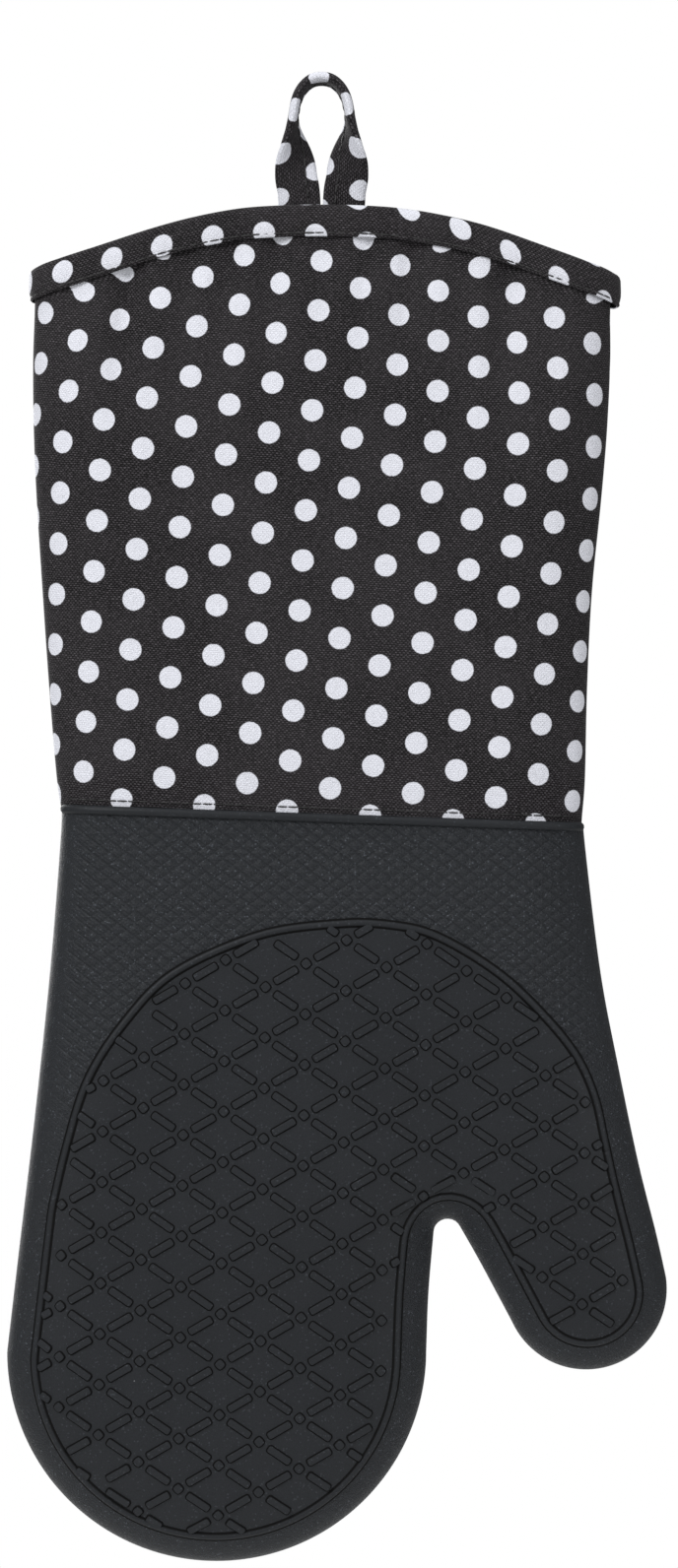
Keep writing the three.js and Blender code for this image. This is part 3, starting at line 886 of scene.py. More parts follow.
def inside_line(points, line):
    """Which points lie inside a closed line, by counting crossings."""
    points = np.asarray(points, float)
    found = np.zeros(len(points), bool)
    for (x1, z1), (x2, z2) in zip(line, np.roll(line, -1, axis=0)):
        if z1 == z2:
            continue
        crosses = (points[:, 1] > z1) != (points[:, 1] > z2)
        at = x1 + (points[:, 1] - z1) / (z2 - z1) * (x2 - x1)
        found ^= crosses & (points[:, 0] < at)
    return found


def hand_shell(name, rings, inset, spacing):
    """Both faces of the hand joined round their edge."""
    points, faces = hand_face(rings, spacing)
    half = hand_half_depth(points, inset)
    edge_count = len(HAND_EDGE)
    half[:edge_count] = 0
    front = np.column_stack((points[:, 0], -half, points[:, 1]))
    back = np.column_stack((points[:, 0], half, points[:, 1]))[edge_count:]
    total = len(front)
    turned = [
        tuple(index if index < edge_count else index - edge_count + total for index in reversed(face))
        for face in faces
    ]
    zone = grip_zone(points)
    low = 0.3 + 0.7 * smoothstep(points[:, 1], -290, -255)
    knurl = smoothstep(edge_distance(points), 2, 9) * low * (1 - zone)
    marked = {
        key: np.concatenate((values, values[edge_count:]))
        for key, values in (("grip_zone", zone), ("knurl_zone", knurl))
    }
    return make_object(name, np.vstack((front, back)), faces + turned, marked)


def grip_border():
    """The raised border of the grip zone, as a closed line (x, z) just inside the hand's edge."""
    inset = sizes().border_inset / MM
    offset = HAND_EDGE + inward(HAND_EDGE) * inset
    keep = offset[:, 1] < np.where(offset[:, 0] < 0, -306, -286)
    sides = offset[keep]
    top = smooth_curve((sides[-1] + (0.02, -0.1), (74.4, -276.5), (69.6, -265.7), (61.2, -255.0),
                        (48.1, -242.6), (31.2, -232.5), (18.4, -229.5), (5.0, -229.2), (-16.6, -232.3),
                        (-40.0, -242.7), (-53.6, -256.5), (-63.2, -271.6), (-68.8, -288.9), sides[0]))
    line = np.vstack((sides[:-1], top[:-1]))
    for _ in range(6):
        line = (np.roll(line, 1, axis=0) + line * 2 + np.roll(line, -1, axis=0)) / 4
    return evenly(np.vstack((line, line[:1])), 1.0)[:-1]


def grip_zone(points):
    """1 inside the raised border and 0 outside it."""
    return inside_line(points, grip_border()).astype(float)


def surface_frame(points, side):
    """Places on the hand's front (side -1) or back (side 1), and the normals there."""
    step = 0.6
    half = hand_half_depth(points)
    slope_x = (hand_half_depth(points + (step, 0)) - hand_half_depth(points - (step, 0))) / (2 * step)
    slope_z = (hand_half_depth(points + (0, step)) - hand_half_depth(points - (0, step))) / (2 * step)
    places = np.column_stack((points[:, 0], side * half, points[:, 1]))
    normals = unit(np.column_stack((-slope_x, np.full(len(points), float(side)), -slope_z)))
    return places, normals


def border_rib(side):
    """The raised border as two tubes: one on the palm and fingers, one on the thumb."""
    line = grip_border()
    beyond = in_thumb(line)
    first = int(np.argmax(~beyond & np.roll(beyond, 1)))
    line, beyond = np.roll(line, -first, axis=0), np.roll(beyond, -first)
    cut = int(np.argmax(beyond))
    # Half the rib's section: across, up, and how dark in painted shade; its outer rows are a near-black
    # skirt, a painted shadow.
    half = np.array((
        (1.5, -0.5, 1), (1.35, 0.05, 0.9), (0.98, 0.03, 1),
        (0.84, 0.25, 0.8), (0.66, 0.48, 0.15), (0.36, 0.66, 0),
    ))
    section = np.vstack((half, ((0, 0.72, 0),), (half * (-1, 1, 1))[::-1]))
    parts = []
    for part in (line[:cut + 1], np.vstack((line[cut:], line[:1]))):
        places, normals = surface_frame(part, side)
        along = unit(np.gradient(places, axis=0))
        points, faces = sweep(places, unit(np.cross(along, normals)), normals, section[:, :2])
        parts.append((points, faces, np.tile(section[:, 2], len(places))))
    return parts


def pad_levels(height):
    """A pad's rings: how far out, how high, and how dark in painted shade; the outer ones form a near-black
    skirt, a painted shadow.
    """
    return (
        (0.42, -0.30, 1.0), (0.33, 0.06, 0.9), (0.05, 0.05, 1.0), (0.0, height * 0.7, 0.8),
        (-0.05, height * 0.95, 0.1), (-0.16, height, 0.0), (-0.32, height, 0.0),
    )


def pad_shape(outline, height):
    """A raised pad: a steep wall from below the surface to a slightly rounded top."""
    way = unit(np.roll(outline, -1, axis=0) - np.roll(outline, 1, axis=0))
    outside = np.column_stack((way[:, 1], -way[:, 0]))
    rows = [np.column_stack((outline + outside * spread, np.full(len(outline), level)))
            for spread, level, _ in pad_levels(height)]
    faces = grid_faces(len(rows), len(outline), close_columns=True)
    last = (len(rows) - 1) * len(outline)
    faces.append(tuple(range(last, last + len(outline))))
    # Painted shade: how dark each ring is painted, near black in the skirt round the pad.
    painted_groove_shade = np.repeat([dark for _, _, dark in pad_levels(height)], len(outline))
    return np.vstack(rows), faces, painted_groove_shade


def turned_by(points, angle):
    """Points (x, z) turned about the origin."""
    return points @ np.array(((math.cos(angle), math.sin(angle)), (-math.sin(angle), math.cos(angle))))


def bar_outline(length, width, angle):
    """A bar with eased corners, turned to its angle."""
    radius = width * 0.28
    reach = (length / 2 - radius, width / 2 - radius)
    corners = ((1, -1, -90), (1, 1, 0), (-1, 1, 90), (-1, -1, 180))
    points = np.vstack([
        np.column_stack((way * reach[0] + radius * np.cos(turn), rise * reach[1] + radius * np.sin(turn)))
        for way, rise, start in corners
        for turn in (np.radians(np.linspace(start, start + 90, 4)),)
    ])
    return turned_by(points, angle)


def diamond_outline(radius, angle):
    """A small diamond with rounded corners."""
    turns = np.radians(np.linspace(0, 360, 16, endpoint=False))
    power = 2 / 1.35
    x = np.sign(np.cos(turns)) * np.abs(np.cos(turns)) ** power
    z = np.sign(np.sin(turns)) * np.abs(np.sin(turns)) ** power
    return turned_by(radius * np.column_stack((x, z)), angle)


def grip_marks():
    """Every raised mark in the grip zone: its middle (x, z) and its outline."""
    border = grip_border()
    width, full = sizes().bar_width / MM, sizes().bar_length / MM
    tilt = math.atan2(GRIP_STEPS.sum(axis=0)[1], GRIP_STEPS.sum(axis=0)[0])
    reach = range(-16, 17)
    nodes = np.array([GRIP_NODE + GRIP_STEPS[0] * i + GRIP_STEPS[1] * j for i in reach for j in reach])
    nodes = nodes[(abs(nodes[:, 0]) < 110) & (nodes[:, 1] < -220) & (nodes[:, 1] > -410)]
    clear = nodes[in_margin(nodes, border, DIAMOND_MARGIN)]
    marks = [(node, diamond_outline(GRIP_DIAMOND, tilt)) for node in clear]
    places = np.linspace(-full / 2, full / 2, 15)
    for step in GRIP_STEPS:
        middles = nodes + step / 2
        along = step / np.linalg.norm(step)
        spots = middles[:, None] + along * places[:, None]
        inside = in_margin(spots.reshape(-1, 2), border, BAR_MARGIN).reshape(len(middles), -1)
        for middle, clear in zip(middles[inside.any(axis=1)], inside[inside.any(axis=1)]):
            low, high = places[clear].min(), places[clear].max()
            if high - low > width * 1.1:
                angle = math.atan2(along[1], along[0])
                marks.append((middle + along * (low + high) / 2, bar_outline(high - low, width, angle)))
    return marks


def in_margin(points, border, margin):
    """Which points lie inside the border by at least a margin."""
    found = inside_line(points, border)
    near = np.linalg.norm(points[found][:, None] - border[None], axis=2).min(axis=1)
    found[found] = near > margin
    return found


def grip_pads(marks, side):
    """The raised marks set on one face of the hand."""
    height = sizes().bar_height / MM
    middles = np.array([middle for middle, _ in marks])
    places, normals = surface_frame(middles, side)
    parts, painted_groove_shades = [], []
    for (_, outline), place, normal in zip(marks, places, normals):
        points, faces, painted_groove_shade = pad_shape(outline, height)
        across = unit(np.cross(normal, (0, 0, 1)) * side)
        across = -across if across[0] < 0 else across
        up = unit(np.cross(normal, across))
        up = -up if up[2] < 0 else up
        points = place + points[:, :1] * across + points[:, 1:2] * up + points[:, 2:] * normal
        parts.append((points, faces))
        painted_groove_shades.append(painted_groove_shade)
    return (*join_parts(parts), np.concatenate(painted_groove_shades))


def rim_bead():
    """The rolled rim of the silicone, all the way round at the seam."""
    left, right = seam_ends()
    turns = np.linspace(0, math.pi, 121)
    x = (left + right) / 2 - ((right - left) / 2 - 0.9) * np.cos(turns)
    line = np.column_stack((x, seam_height(x) - RIM_HALF_HEIGHT))
    half = hand_half_depth(line)
    half[[0, -1]] = 0
    front = np.column_stack((x, -half, line[:, 1]))
    back = np.column_stack((x, half, line[:, 1]))[::-1]
    path = evenly(np.vstack((front, back[1:])), 1.5)[:-1]
    along = unit(np.roll(path, -1, axis=0) - np.roll(path, 1, axis=0))
    up = np.tile((0.0, 0.0, 1.0), (len(path), 1))
    outwards = unit(np.cross(along, up))
    turns = np.linspace(0, 2 * math.pi, 14, endpoint=False)
    section = np.column_stack((RIM_HALF_HEIGHT * np.cos(turns), RIM_HALF_DEPTH * np.sin(turns)))
    return sweep(path, up, outwards, section, closed=True)


def seam_ends():
    """Where the seam meets the hand's left and right edges."""
    middle = len(HAND_EDGE) // 2
    left = HAND_EDGE[:middle]
    right = HAND_EDGE[middle:][::-1]
    return [np.interp(-SEAM_LEVEL, -line[:, 1], line[:, 0]) for line in (left, right)]


class BuildSiliconeHand(bpy.types.Operator):
    """The moulded silicone hand, with its rim, raised border and grip marks on both faces."""

    bl_idname = "oven_mitt.silicone_hand"
    bl_label = "Silicone Hand"

    def execute(self, context):
        hand = hand_shell("silicone_hand", SKIN_RINGS, 0.0, SKIN_SPACING)
        cut_above_seam(hand, -0.6)
        outward(hand)
        thumb = split_thumb(hand, "silicone_thumb")
        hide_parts("palm_silicone_skin", "fingers_silicone_skin")
        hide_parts("thumb_silicone_skin")
        marks = grip_marks()
        beyond = in_thumb([middle for middle, _ in marks])
        for side, word in ((-1, "front"), (1, "back")):
            ribs = border_rib(side)
            for number, (where, chosen) in enumerate((("hand", ~beyond), ("thumb", beyond))):
                kept = [mark for mark, wanted in zip(marks, chosen) if wanted]
                rib, pads = ribs[number], grip_pads(kept, side)
                points, faces = join_parts([rib[:2], pads[:2]])
                marked = {"grip_zone": np.ones(len(points)), "painted_groove_shade": np.concatenate((rib[2], pads[2]))}
                grip = make_object(f"grip_{where}_{word}", points, faces, marked)
                outward(grip)
                finish_piece(grip, "silicone")
                (blend_knuckles if where == "hand" else blend_thumb)(grip)
        points, faces = rim_bead()
        rim = make_object("silicone_rim", points, faces, {"grip_zone": np.ones(len(points))})
        outward(rim)
        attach(finish_piece(rim, "silicone"), "palm")
        blend_knuckles(finish_piece(hand, "silicone"))
        blend_thumb(finish_piece(thumb, "silicone"))
        return {"FINISHED"}


# ---------------------------------------------------------------- the cuff


def cuff_columns(left, right, middle_steps=44):
    """Places across the cuff: close together at its edges, where it turns, and even between."""
    edge = np.array((0, 0.1, 0.35, 0.8, 1.5, 2.5, 3.8, 5.4, 7.3, 9.5, 12.0, 14.8))
    inner = np.linspace(left + 17.5, right - 17.5, middle_steps)
    return np.concatenate((left + edge, inner, (right - edge)[::-1]))


def print_bow(x, z):
    """How far the print rides up towards the side seams, where the cloth is eased into the binding."""
    rise = np.where(x > 0, 3.5, 1.8) * (1 - 0.75 * smoothstep(-z, 55, 150))
    return rise * (x / 76) ** 2


def cuff_sheet(side, inset, top_drop, bottom, rows, swell=True):
    """One face of the cuff as a grid of points, with the same points laid flat along the cloth."""
    grid, flat = [], []
    for row in np.linspace(0, 1, rows):
        level = MOUTH_TOP - top_drop + (bottom - MOUTH_TOP + top_drop) * row
        left, right = cuff_sides(level)
        for _ in range(3):
            ends = np.array((left, right))
            tops = mouth_height(ends) - top_drop
            drops = tops + (bottom - SEAM_LEVEL + seam_height(ends) - tops) * row
            left, right = cuff_sides(drops[0])[0], cuff_sides(drops[1])[1]
        x = cuff_columns(left + inset, right - inset)
        z = mouth_height(x) - top_drop
        z = z + (bottom - SEAM_LEVEL + seam_height(x) - z) * row
        half = cuff_half_depth(x, z, inset)
        if swell:
            half = half + cloth_swell(x, z, side)
        half[[0, -1]] = 0
        if swell:
            x[[0, -1]] += (SEAM_GROOVE, -SEAM_GROOVE)
        y = side * half
        steps = np.hypot(np.diff(x), np.diff(y))
        along = np.concatenate(([0], np.cumsum(steps)))
        along = along - np.interp(0, x, along)
        along = along * (1 + 0.006 * (1 - smoothstep(-z, 50, 105)))
        grid.append(np.column_stack((x, y, z)))
        flat.append(np.column_stack((along, z - print_bow(x, z), np.zeros(len(x)))))
    return np.array(grid), np.array(flat)


def cuff_sleeve(name, inset, top_drop, bottom, rows, swell=True):
    """Front and back faces of one layer of the cuff, which meet at the side seams."""
    points, flats, faces = [], [], []
    for side in (-1, 1):
        grid, flat = cuff_sheet(side, inset, top_drop, bottom, rows, swell)
        start = sum(len(part) for part in points)
        faces += grid_faces(grid.shape[0], grid.shape[1], start, flip=side < 0)
        points.append(grid.reshape(-1, 3))
        shift = (0, 0, 0) if side < 0 else BACK_PRINT_SHIFT
        flats.append(flat.reshape(-1, 3) + shift)
    return make_object(name, np.vstack(points), faces, {"weave_mm": np.vstack(flats)})


class BuildCuff(bpy.types.Operator):
    """The padded cuff: its dotted outer cloth, gathered under the binding, and its lining."""

    bl_idname = "oven_mitt.cuff"
    bl_label = "Cuff"

    def execute(self, context):
        cloth = cuff_sleeve("cuff_cloth", 0.0, 0.8, SEAM_LEVEL - 1.6, 110)
        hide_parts("cuff_front_panel", "cuff_back_panel", "wrist_front_panel", "wrist_back_panel")
        blend_wrist(finish_piece(cloth, "printed_cotton"))
        lining = cuff_sleeve("cuff_lining", MOUTH_WALL, 1.2, SEAM_LEVEL - 14, 50, swell=False)
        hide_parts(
            "cuff_front_lining", "cuff_back_lining", "cuff_front_wadding", "cuff_back_wadding"
        )
        blend_wrist(finish_piece(lining, "lining_cotton"))
        return {"FINISHED"}


def mouth_ring(drop, stand):
    """A closed ring round the mouth: a drop below its edge and standing off the cloth."""
    turns = np.linspace(0, math.pi, 141)
    left, right = cuff_sides(BINDING_LEVEL)
    x = (left + right) / 2 - ((right - left) / 2 + stand) * np.cos(turns)
    half = np.maximum(cuff_half_depth(x, np.full(len(x), BINDING_LEVEL), -stand), 0)
    x = x + 1.3 * smoothstep(x, right - 25, right)
    z = mouth_height(np.clip(x, left, right + 1)) - drop
    half[[0, -1]] = 0
    front = np.column_stack((x, -half, z))
    back = np.column_stack((x, half, z))[::-1]
    return np.vstack((front, back[1:-1]))


def binding_mesh():
    """The folded strip over the mouth's edge, as rings from its outer lower edge round to its inner one."""
    height = sizes().binding_height / MM
    wall = MOUTH_WALL
    profile = (
        (height - 0.2, 0.35), (height, 0.7), (height - 0.35, 1.05), (height - 1.0, 0.95),
        (height - 1.6, 1.15), (height - 2.6, 1.35), (height * 0.5, 1.4), (1.8, 1.3), (0.9, 1.05),
        (0.3, 0.5), (0.0, -0.5), (0.0, -wall / 2), (0.05, -wall + 0.3), (0.4, -wall - 0.5),
        (1.2, -wall - 1.0), (height * 0.5, -wall - 1.2), (height - 1.2, -wall - 1.1),
        (height, -wall - 0.7), (height - 0.2, -wall - 0.3),
    )
    rings = np.array([mouth_ring(drop, stand) for drop, stand in profile])
    count = rings.shape[1]
    outer = rings[5]
    along = distance_along(outer)
    across = [0.0]
    for (drop_a, stand_a), (drop_b, stand_b) in zip(profile, profile[1:]):
        across.append(across[-1] + math.hypot(drop_b - drop_a, stand_b - stand_a))
    shift = np.interp(outer[:, 0], *np.array(BINDING_DRIFT).T)
    along = along - np.interp(0, outer[:count // 2, 0], along[:count // 2])
    deep = np.array(across) - across[len(profile) // 2 - 1]
    flat = np.array([np.column_stack((along, -up - shift, np.zeros(count))) for up in deep])
    ripple = 0.22 * np.sin(along * 0.31) + 0.16 * np.sin(along * 0.83 + 1.0)
    rings[3:8, :, 1] += (np.sign(rings[3:8, :, 1]) * ripple)
    faces = grid_faces(len(profile), count, close_columns=True, flip=True)
    return rings.reshape(-1, 3), faces, flat.reshape(-1, 3)


class BuildBinding(bpy.types.Operator):
    """The binding round the mouth, cut from the same print."""

    bl_idname = "oven_mitt.binding"
    bl_label = "Binding"

    def execute(self, context):
        points, faces, flat = binding_mesh()
        binding = make_object("mouth_binding_strip", points, faces, {"weave_mm": flat})
        outward(binding)
        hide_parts("mouth_binding")
        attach(finish_piece(binding, "binding_cotton"), "cuff")
        return {"FINISHED"}


# ---------------------------------------------------------------- the hanging loop

LOOP_ROOT_WIDTH = 12.2
LOOP_BOW = 15.3
LOOP_TAPE_WIDTH = 11.5
LOOP_CROWN = 2.0
LOOP_STITCH_INSET = 3.3
LOOP_STITCH_RADIUS = 0.26


def loop_path():
    """The middle of the tape: up from inside the mouth, over the top and down again."""
    pivot = np.array(JOINTS["loop_swing"]["pos_m"]) / MM
    root, bow, low = LOOP_ROOT_WIDTH / 2, LOOP_BOW / 2, pivot[2]
    height = LOOP_CROWN - low
    rising = [
        (-root + 0.4, low - 15), (-root, low), (-root * 1.14, low + height * 0.17),
        (-bow * 0.98, low + height * 0.38), (-bow * 1.02, low + height * 0.62),
        (-bow * 0.85, low + height * 0.84), (-bow * 0.46, low + height * 0.965),
    ]
    falling = [(-x + 0.3, z) for x, z in reversed(rising)]
    flat = smooth_curve([*rising, (0.1, LOOP_CROWN), *falling], 0.8)
    rise = (flat[:, 1] - low) / height
    y = pivot[1] * (1 - smoothstep(rise, 0.2, 0.95))
    return np.column_stack((flat[:, 0], y, flat[:, 1])), rise


def loop_mesh():
    """The folded tape, face on at its legs and turned edge on over the top."""
    path, rise = loop_path()
    along = unit(np.gradient(path, axis=0))
    depth = np.array((0.0, 1.0, 0.0))
    inward_way = unit(np.cross(along, depth))
    inward_way *= -np.sign((path * inward_way).sum(axis=1))[:, None]
    turn = smoothstep(rise, 0.05, 0.72) * math.pi / 2
    wide = inward_way * np.cos(turn)[:, None] + depth * np.sin(turn)[:, None]
    wide = unit(wide - along * (wide * along).sum(axis=1)[:, None])
    thick = unit(np.cross(along, wide))
    half = LOOP_TAPE_WIDTH / 2
    section = np.array((
        (half, 1.15), (half - 0.9, 1.3), (half - 2.4, 1.25), (half - 3.3, 1.0), (half - 4.2, 1.25),
        (0, 1.35), (-half + 2.2, 1.3), (-half + 0.8, 1.05), (-half + 0.15, 0.55), (-half, 0),
        (-half + 0.15, -0.55), (-half + 0.8, -1.05), (-half + 2.2, -1.3), (0, -1.35),
        (half - 4.2, -1.25), (half - 3.3, -1.0), (half - 2.4, -1.25), (half - 0.9, -1.3), (half, -1.15),
        (half + 0.1, -0.7), (half, -0.2), (half - 1.6, 0.0), (half + 0.1, 0.25), (half + 0.1, 0.8),
    ))
    points, faces = sweep(path, wide, thick, section)
    length = distance_along(path)
    flat = np.zeros((len(path), len(section), 3))
    flat[:, :, 0] = length[:, None] - length[-1] / 2
    # Unrolled round the tape: measured along the face at first, and on round its folded edge.
    fold = int(np.argmin(section[:, 0]))
    round_it = np.linalg.norm(np.diff(section[:fold + 1], axis=0), axis=1)[::-1].cumsum()[::-1]
    flat[:, fold:, 1] = section[None, fold:, 0]
    flat[:, :fold, 1] = section[fold, 0] - round_it
    return points, faces, flat.reshape(-1, 3), (path, wide, thick)


class BuildLoop(bpy.types.Operator):
    """The hanging loop, a folded tape of the print, with its row of edge stitches."""

    bl_idname = "oven_mitt.loop"
    bl_label = "Hanging Loop"

    def execute(self, context):
        points, faces, flat, (path, wide, thick) = loop_mesh()
        loop = make_object("hanging_loop_tape", points, faces, {"weave_mm": flat})
        outward(loop)
        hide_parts("hanging_loop", "loop_sewn_end_left", "loop_sewn_end_right")
        blend_loop(finish_piece(loop, "tape_cotton"))
        line = path + wide * (LOOP_TAPE_WIDTH / 2 - LOOP_STITCH_INSET)
        stitched = [
            stitch_row(line + thick * way, thick * np.sign(way), LOOP_STITCH_RADIUS)
            for way in (1.12, -1.12)
        ]
        points, faces = join_parts(stitched)
        stitches = make_object("loop_edge_stitches", points, faces)
        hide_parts("loop_stitching")
        blend_loop(finish_piece(stitches, "sewing_thread"))
        return {"FINISHED"}


def blend_loop(made):
    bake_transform(made)


# ---------------------------------------------------------------- stitches

STITCH_RADIUS = 0.22
BINDING_STITCH_RISE = 1.0
BINDING_STITCH_STAND = 0.95
SEAM_STITCH_RISE = 1.5


def stitch_row(path, outwards, radius=STITCH_RADIUS):
    """Separate stitches along a line: each rises out of the cloth, lies along it and dives back in."""
    along = distance_along(path)
    pitch = sizes().stitch_pitch / MM
    count = int(along[-1] / pitch)
    parts = []
    turns = np.linspace(0, 2 * math.pi, 7, endpoint=False)
    for number in range(count):
        places = (number + np.array((0.02, 0.08, 0.28, 0.5, 0.72, 0.92, 0.98))) * pitch
        middle = values_at(places, along, path)
        out = unit(values_at(places, along, outwards))
        rise = np.array((-0.9, -0.2, 0.45, 0.6, 0.45, -0.2, -0.9)) * radius
        wide = np.array((0.6, 0.85, 1.0, 1.0, 1.0, 0.85, 0.6)) * radius
        middle = middle + out * rise[:, None]
        way = unit(np.gradient(middle, axis=0))
        across = unit(np.cross(way, out))
        ring = np.stack((np.cos(turns), np.sin(turns)), axis=1)
        rings = middle[:, None] + wide[:, None, None] * (
            across[:, None] * ring[None, :, :1] + out[:, None] * ring[None, :, 1:]
        )
        faces = grid_faces(len(places), len(turns), close_columns=True)
        faces += end_caps(len(places), len(turns))
        parts.append((rings.reshape(-1, 3), faces))
    return join_parts(parts)


class BuildStitches(bpy.types.Operator):
    """The rows of top stitches along the binding and along the seam with the silicone."""

    bl_idname = "oven_mitt.stitches"
    bl_label = "Stitches"

    def execute(self, context):
        drop = sizes().binding_height / MM - BINDING_STITCH_RISE
        for side, word in ((-1, "front"), (1, "back")):
            ring = mouth_ring(drop, BINDING_STITCH_STAND)
            count = len(ring) // 2 + 1
            half = ring[:count] * (1, 1 if side < 0 else -1, 1)
            line = evenly(half[3:-3], 0.7)
            out = np.tile((0.0, float(side), 0.0), (len(line), 1))
            points, faces = stitch_row(line, out)
            made = make_object(f"binding_stitches_{word}", points, faces)
            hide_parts(f"binding_stitching_{word}")
            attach(finish_piece(made, "sewing_thread"), "cuff")
        for side, word in ((-1, "front"), (1, "back")):
            left, right = cuff_sides(SEAM_LEVEL + 1.4)
            x = np.linspace(left + 2.5, right - 2.5, 260)
            z = seam_height(x) + SEAM_STITCH_RISE
            y = side * (cuff_half_depth(x, z) + cloth_swell(x, z, side))
            line = np.column_stack((x, y, z))
            points, faces = stitch_row(line, np.tile((0.0, float(side), 0.0), (len(x), 1)))
            made = make_object(f"seam_stitches_{word}", points, faces)
            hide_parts(f"seam_stitching_{word}")
            blend_wrist(finish_piece(made, "sewing_thread"))
        return {"FINISHED"}


# ---------------------------------------------------------------- the hand's lining


class BuildHandLining(bpy.types.Operator):
    """The lining and padding inside the hand, seen down through the mouth."""

    bl_idname = "oven_mitt.hand_lining"
    bl_label = "Hand Lining"

    def execute(self, context):
        lining = hand_shell("hand_lining", LINING_RINGS, LINING_INSET, LINING_SPACING)
        weave = lining.data.attributes.new("weave_mm", "FLOAT_VECTOR", "POINT")
        place = np.array([vertex.co for vertex in lining.data.vertices]) / MM
        weave.data.foreach_set("vector", place[:, [0, 2, 1]].astype(np.float32).ravel())
        cut_above_seam(lining, -6)
        outward(lining)
        thumb = split_thumb(lining, "thumb_lining_pocket")
        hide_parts("palm_lining", "fingers_lining", "palm_wadding", "fingers_wadding")
        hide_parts("thumb_lining", "thumb_wadding")
        blend_knuckles(finish_piece(lining, "lining_cotton"))
        blend_thumb(finish_piece(thumb, "lining_cotton"))
        return {"FINISHED"}


# ---------------------------------------------------------------- stage


VIEW_MIDDLE = Vector((0.0049, 0, -0.1914))
CAMERA_AWAY = 1.194
CAMERA_LENS = 100
CAMERA_SENSOR = 36
FLOOR_RADIUS = 0.9
FLOOR_DROP = 0.22
SKY_ON_MITT = 0.3
SKY_BEHIND = 1.0
# Each soft light: its name, place, width, height and watts.
LAMPS = (
    ("key", (-0.8, -1.0, 0.55), 0.5, 0.7, 19.5),
    ("fill", (0.95, -1.0, 0.1), 0.8, 1.3, 8.5),
    ("top", (0.0, -0.1, 0.9), 1.2, 0.8, 6),
    ("back", (-0.5, 1.1, 0.2), 0.9, 1.2, 20),
)


class BuildStage(bpy.types.Operator):
    """The plain floor, soft lights and the camera."""

    bl_idname = "oven_mitt.stage"
    bl_label = "Stage"

    def execute(self, context):
        pale_floor()
        for lamp in LAMPS:
            soft_light(*lamp)
        context.scene.world = studio_world()
        camera = link_new("camera", bpy.data.cameras.new("camera"))
        camera.data.lens = CAMERA_LENS
        camera.data.sensor_width = CAMERA_SENSOR
        camera.location = (VIEW_MIDDLE.x, -CAMERA_AWAY, VIEW_MIDDLE.z)
        camera.rotation_euler = (math.radians(90), 0, 0)
        context.scene.camera = camera
        context.scene.view_settings.view_transform = "Standard"
        return {"FINISHED"}


def pale_floor():
    """A wide plain disc well below the hanging mitt."""
    shape = bmesh.new()
    bmesh.ops.create_circle(shape, cap_ends=True, segments=96, radius=FLOOR_RADIUS)
    mesh = bpy.data.meshes.new("floor")
    shape.to_mesh(mesh)
    shape.free()
    floor = link_new("floor", mesh)
    floor.location = (0, 0, CAD_BOUNDS[0][2] - FLOOR_DROP)
    material, _, surface = new_material("Pale Floor")
    surface.inputs["Base Color"].default_value = (0.82, 0.82, 0.81, 1)
    surface.inputs["Roughness"].default_value = 0.8
    mesh.materials.append(material)


def soft_light(name, place, width, height, power):
    """An oblong area light that faces the middle of the mitt."""
    light = bpy.data.lights.new(name, "AREA")
    light.shape = "RECTANGLE"
    light.size = width
    light.size_y = height
    light.energy = power
    lamp = link_new(name, light)
    lamp.location = place
    lamp.rotation_euler = (VIEW_MIDDLE - Vector(place)).to_track_quat("-Z", "Y").to_euler()


def studio_world():
    """A white backdrop that lights the mitt only softly."""
    world = bpy.data.worlds.new("Studio")
    world.use_nodes = True
    tree = world.node_tree
    backdrop = tree.nodes["Background"]
    backdrop.inputs[0].default_value = (1, 1, 1, 1)
    path = add_node(tree, "ShaderNodeLightPath")
    strength = add_node(
        tree, "ShaderNodeMapRange",
        {"Value": path.outputs["Is Camera Ray"], "To Min": SKY_ON_MITT, "To Max": SKY_BEHIND},
    )
    tree.links.new(strength.outputs[0], backdrop.inputs[1])
    return world


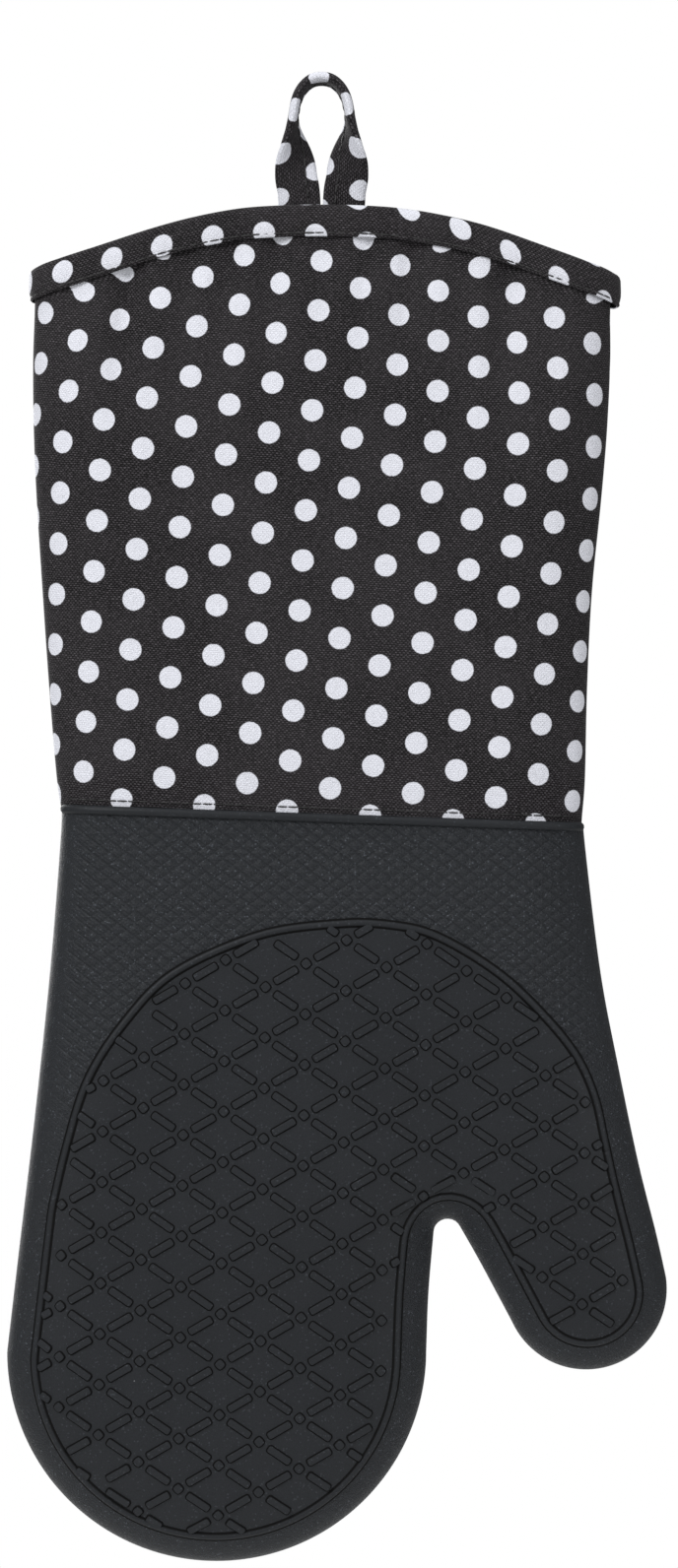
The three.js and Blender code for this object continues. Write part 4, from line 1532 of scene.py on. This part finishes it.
class MittPanel(bpy.types.Panel):
    """Lists the mitt's pieces in the sidebar."""

    bl_idname = "VIEW3D_PT_oven_mitt"
    bl_label = "Oven Mitt"
    bl_space_type = "VIEW_3D"
    bl_region_type = "UI"
    bl_category = "Oven Mitt"

    def draw(self, context):
        layout = self.layout
        for group in (context.scene.mitt_sizes, context.scene.mitt_colours):
            box = layout.box()
            for name in group.bl_rna.properties.keys():
                if name not in ("rna_type", "name"):
                    box.prop(group, name)
        for operator in OPERATORS:
            layout.operator(operator.bl_idname)


OPERATORS = (
    BuildStage, BuildCuff, BuildBinding, BuildLoop, BuildStitches, BuildSiliconeHand, BuildHandLining,
)
CLASSES = (MittSizes, MittColours, *OPERATORS, MittPanel)


def register():
    for each in CLASSES:
        bpy.utils.register_class(each)
    bpy.types.Scene.mitt_sizes = bpy.props.PointerProperty(type=MittSizes)
    bpy.types.Scene.mitt_colours = bpy.props.PointerProperty(type=MittColours)


def unregister():
    del bpy.types.Scene.mitt_colours
    del bpy.types.Scene.mitt_sizes
    for each in reversed(CLASSES):
        bpy.utils.unregister_class(each)


def make_materials():
    GROUPS.update({
        "Dot Print": dot_print_group(), "Plain Weave": plain_weave_group(),
        "Lint": lint_group(), "Mould Grain": grain_group(), "Knurl": knurl_group(),
    })
    MATERIALS.update({
        "silicone": silicone_material(),
        "printed_cotton": printed_cotton_material("Dotted Cotton", PRINT_STEPS, PRINT_ORIGIN),
        "binding_cotton": printed_cotton_material("Binding Cotton", BINDING_STEPS, BINDING_ORIGIN),
        "tape_cotton": printed_cotton_material("Tape Cotton", TAPE_STEPS, TAPE_ORIGIN),
        "sewing_thread": thread_material(),
        "lining_cotton": lining_material(),
    })


def main():
    register()
    make_materials()
    bpy.ops.oven_mitt.stage()
    bpy.ops.oven_mitt.cuff()
    bpy.ops.oven_mitt.binding()
    bpy.ops.oven_mitt.loop()
    bpy.ops.oven_mitt.stitches()
    bpy.ops.oven_mitt.silicone_hand()
    bpy.ops.oven_mitt.hand_lining()


if __name__ == "__main__":
    main()
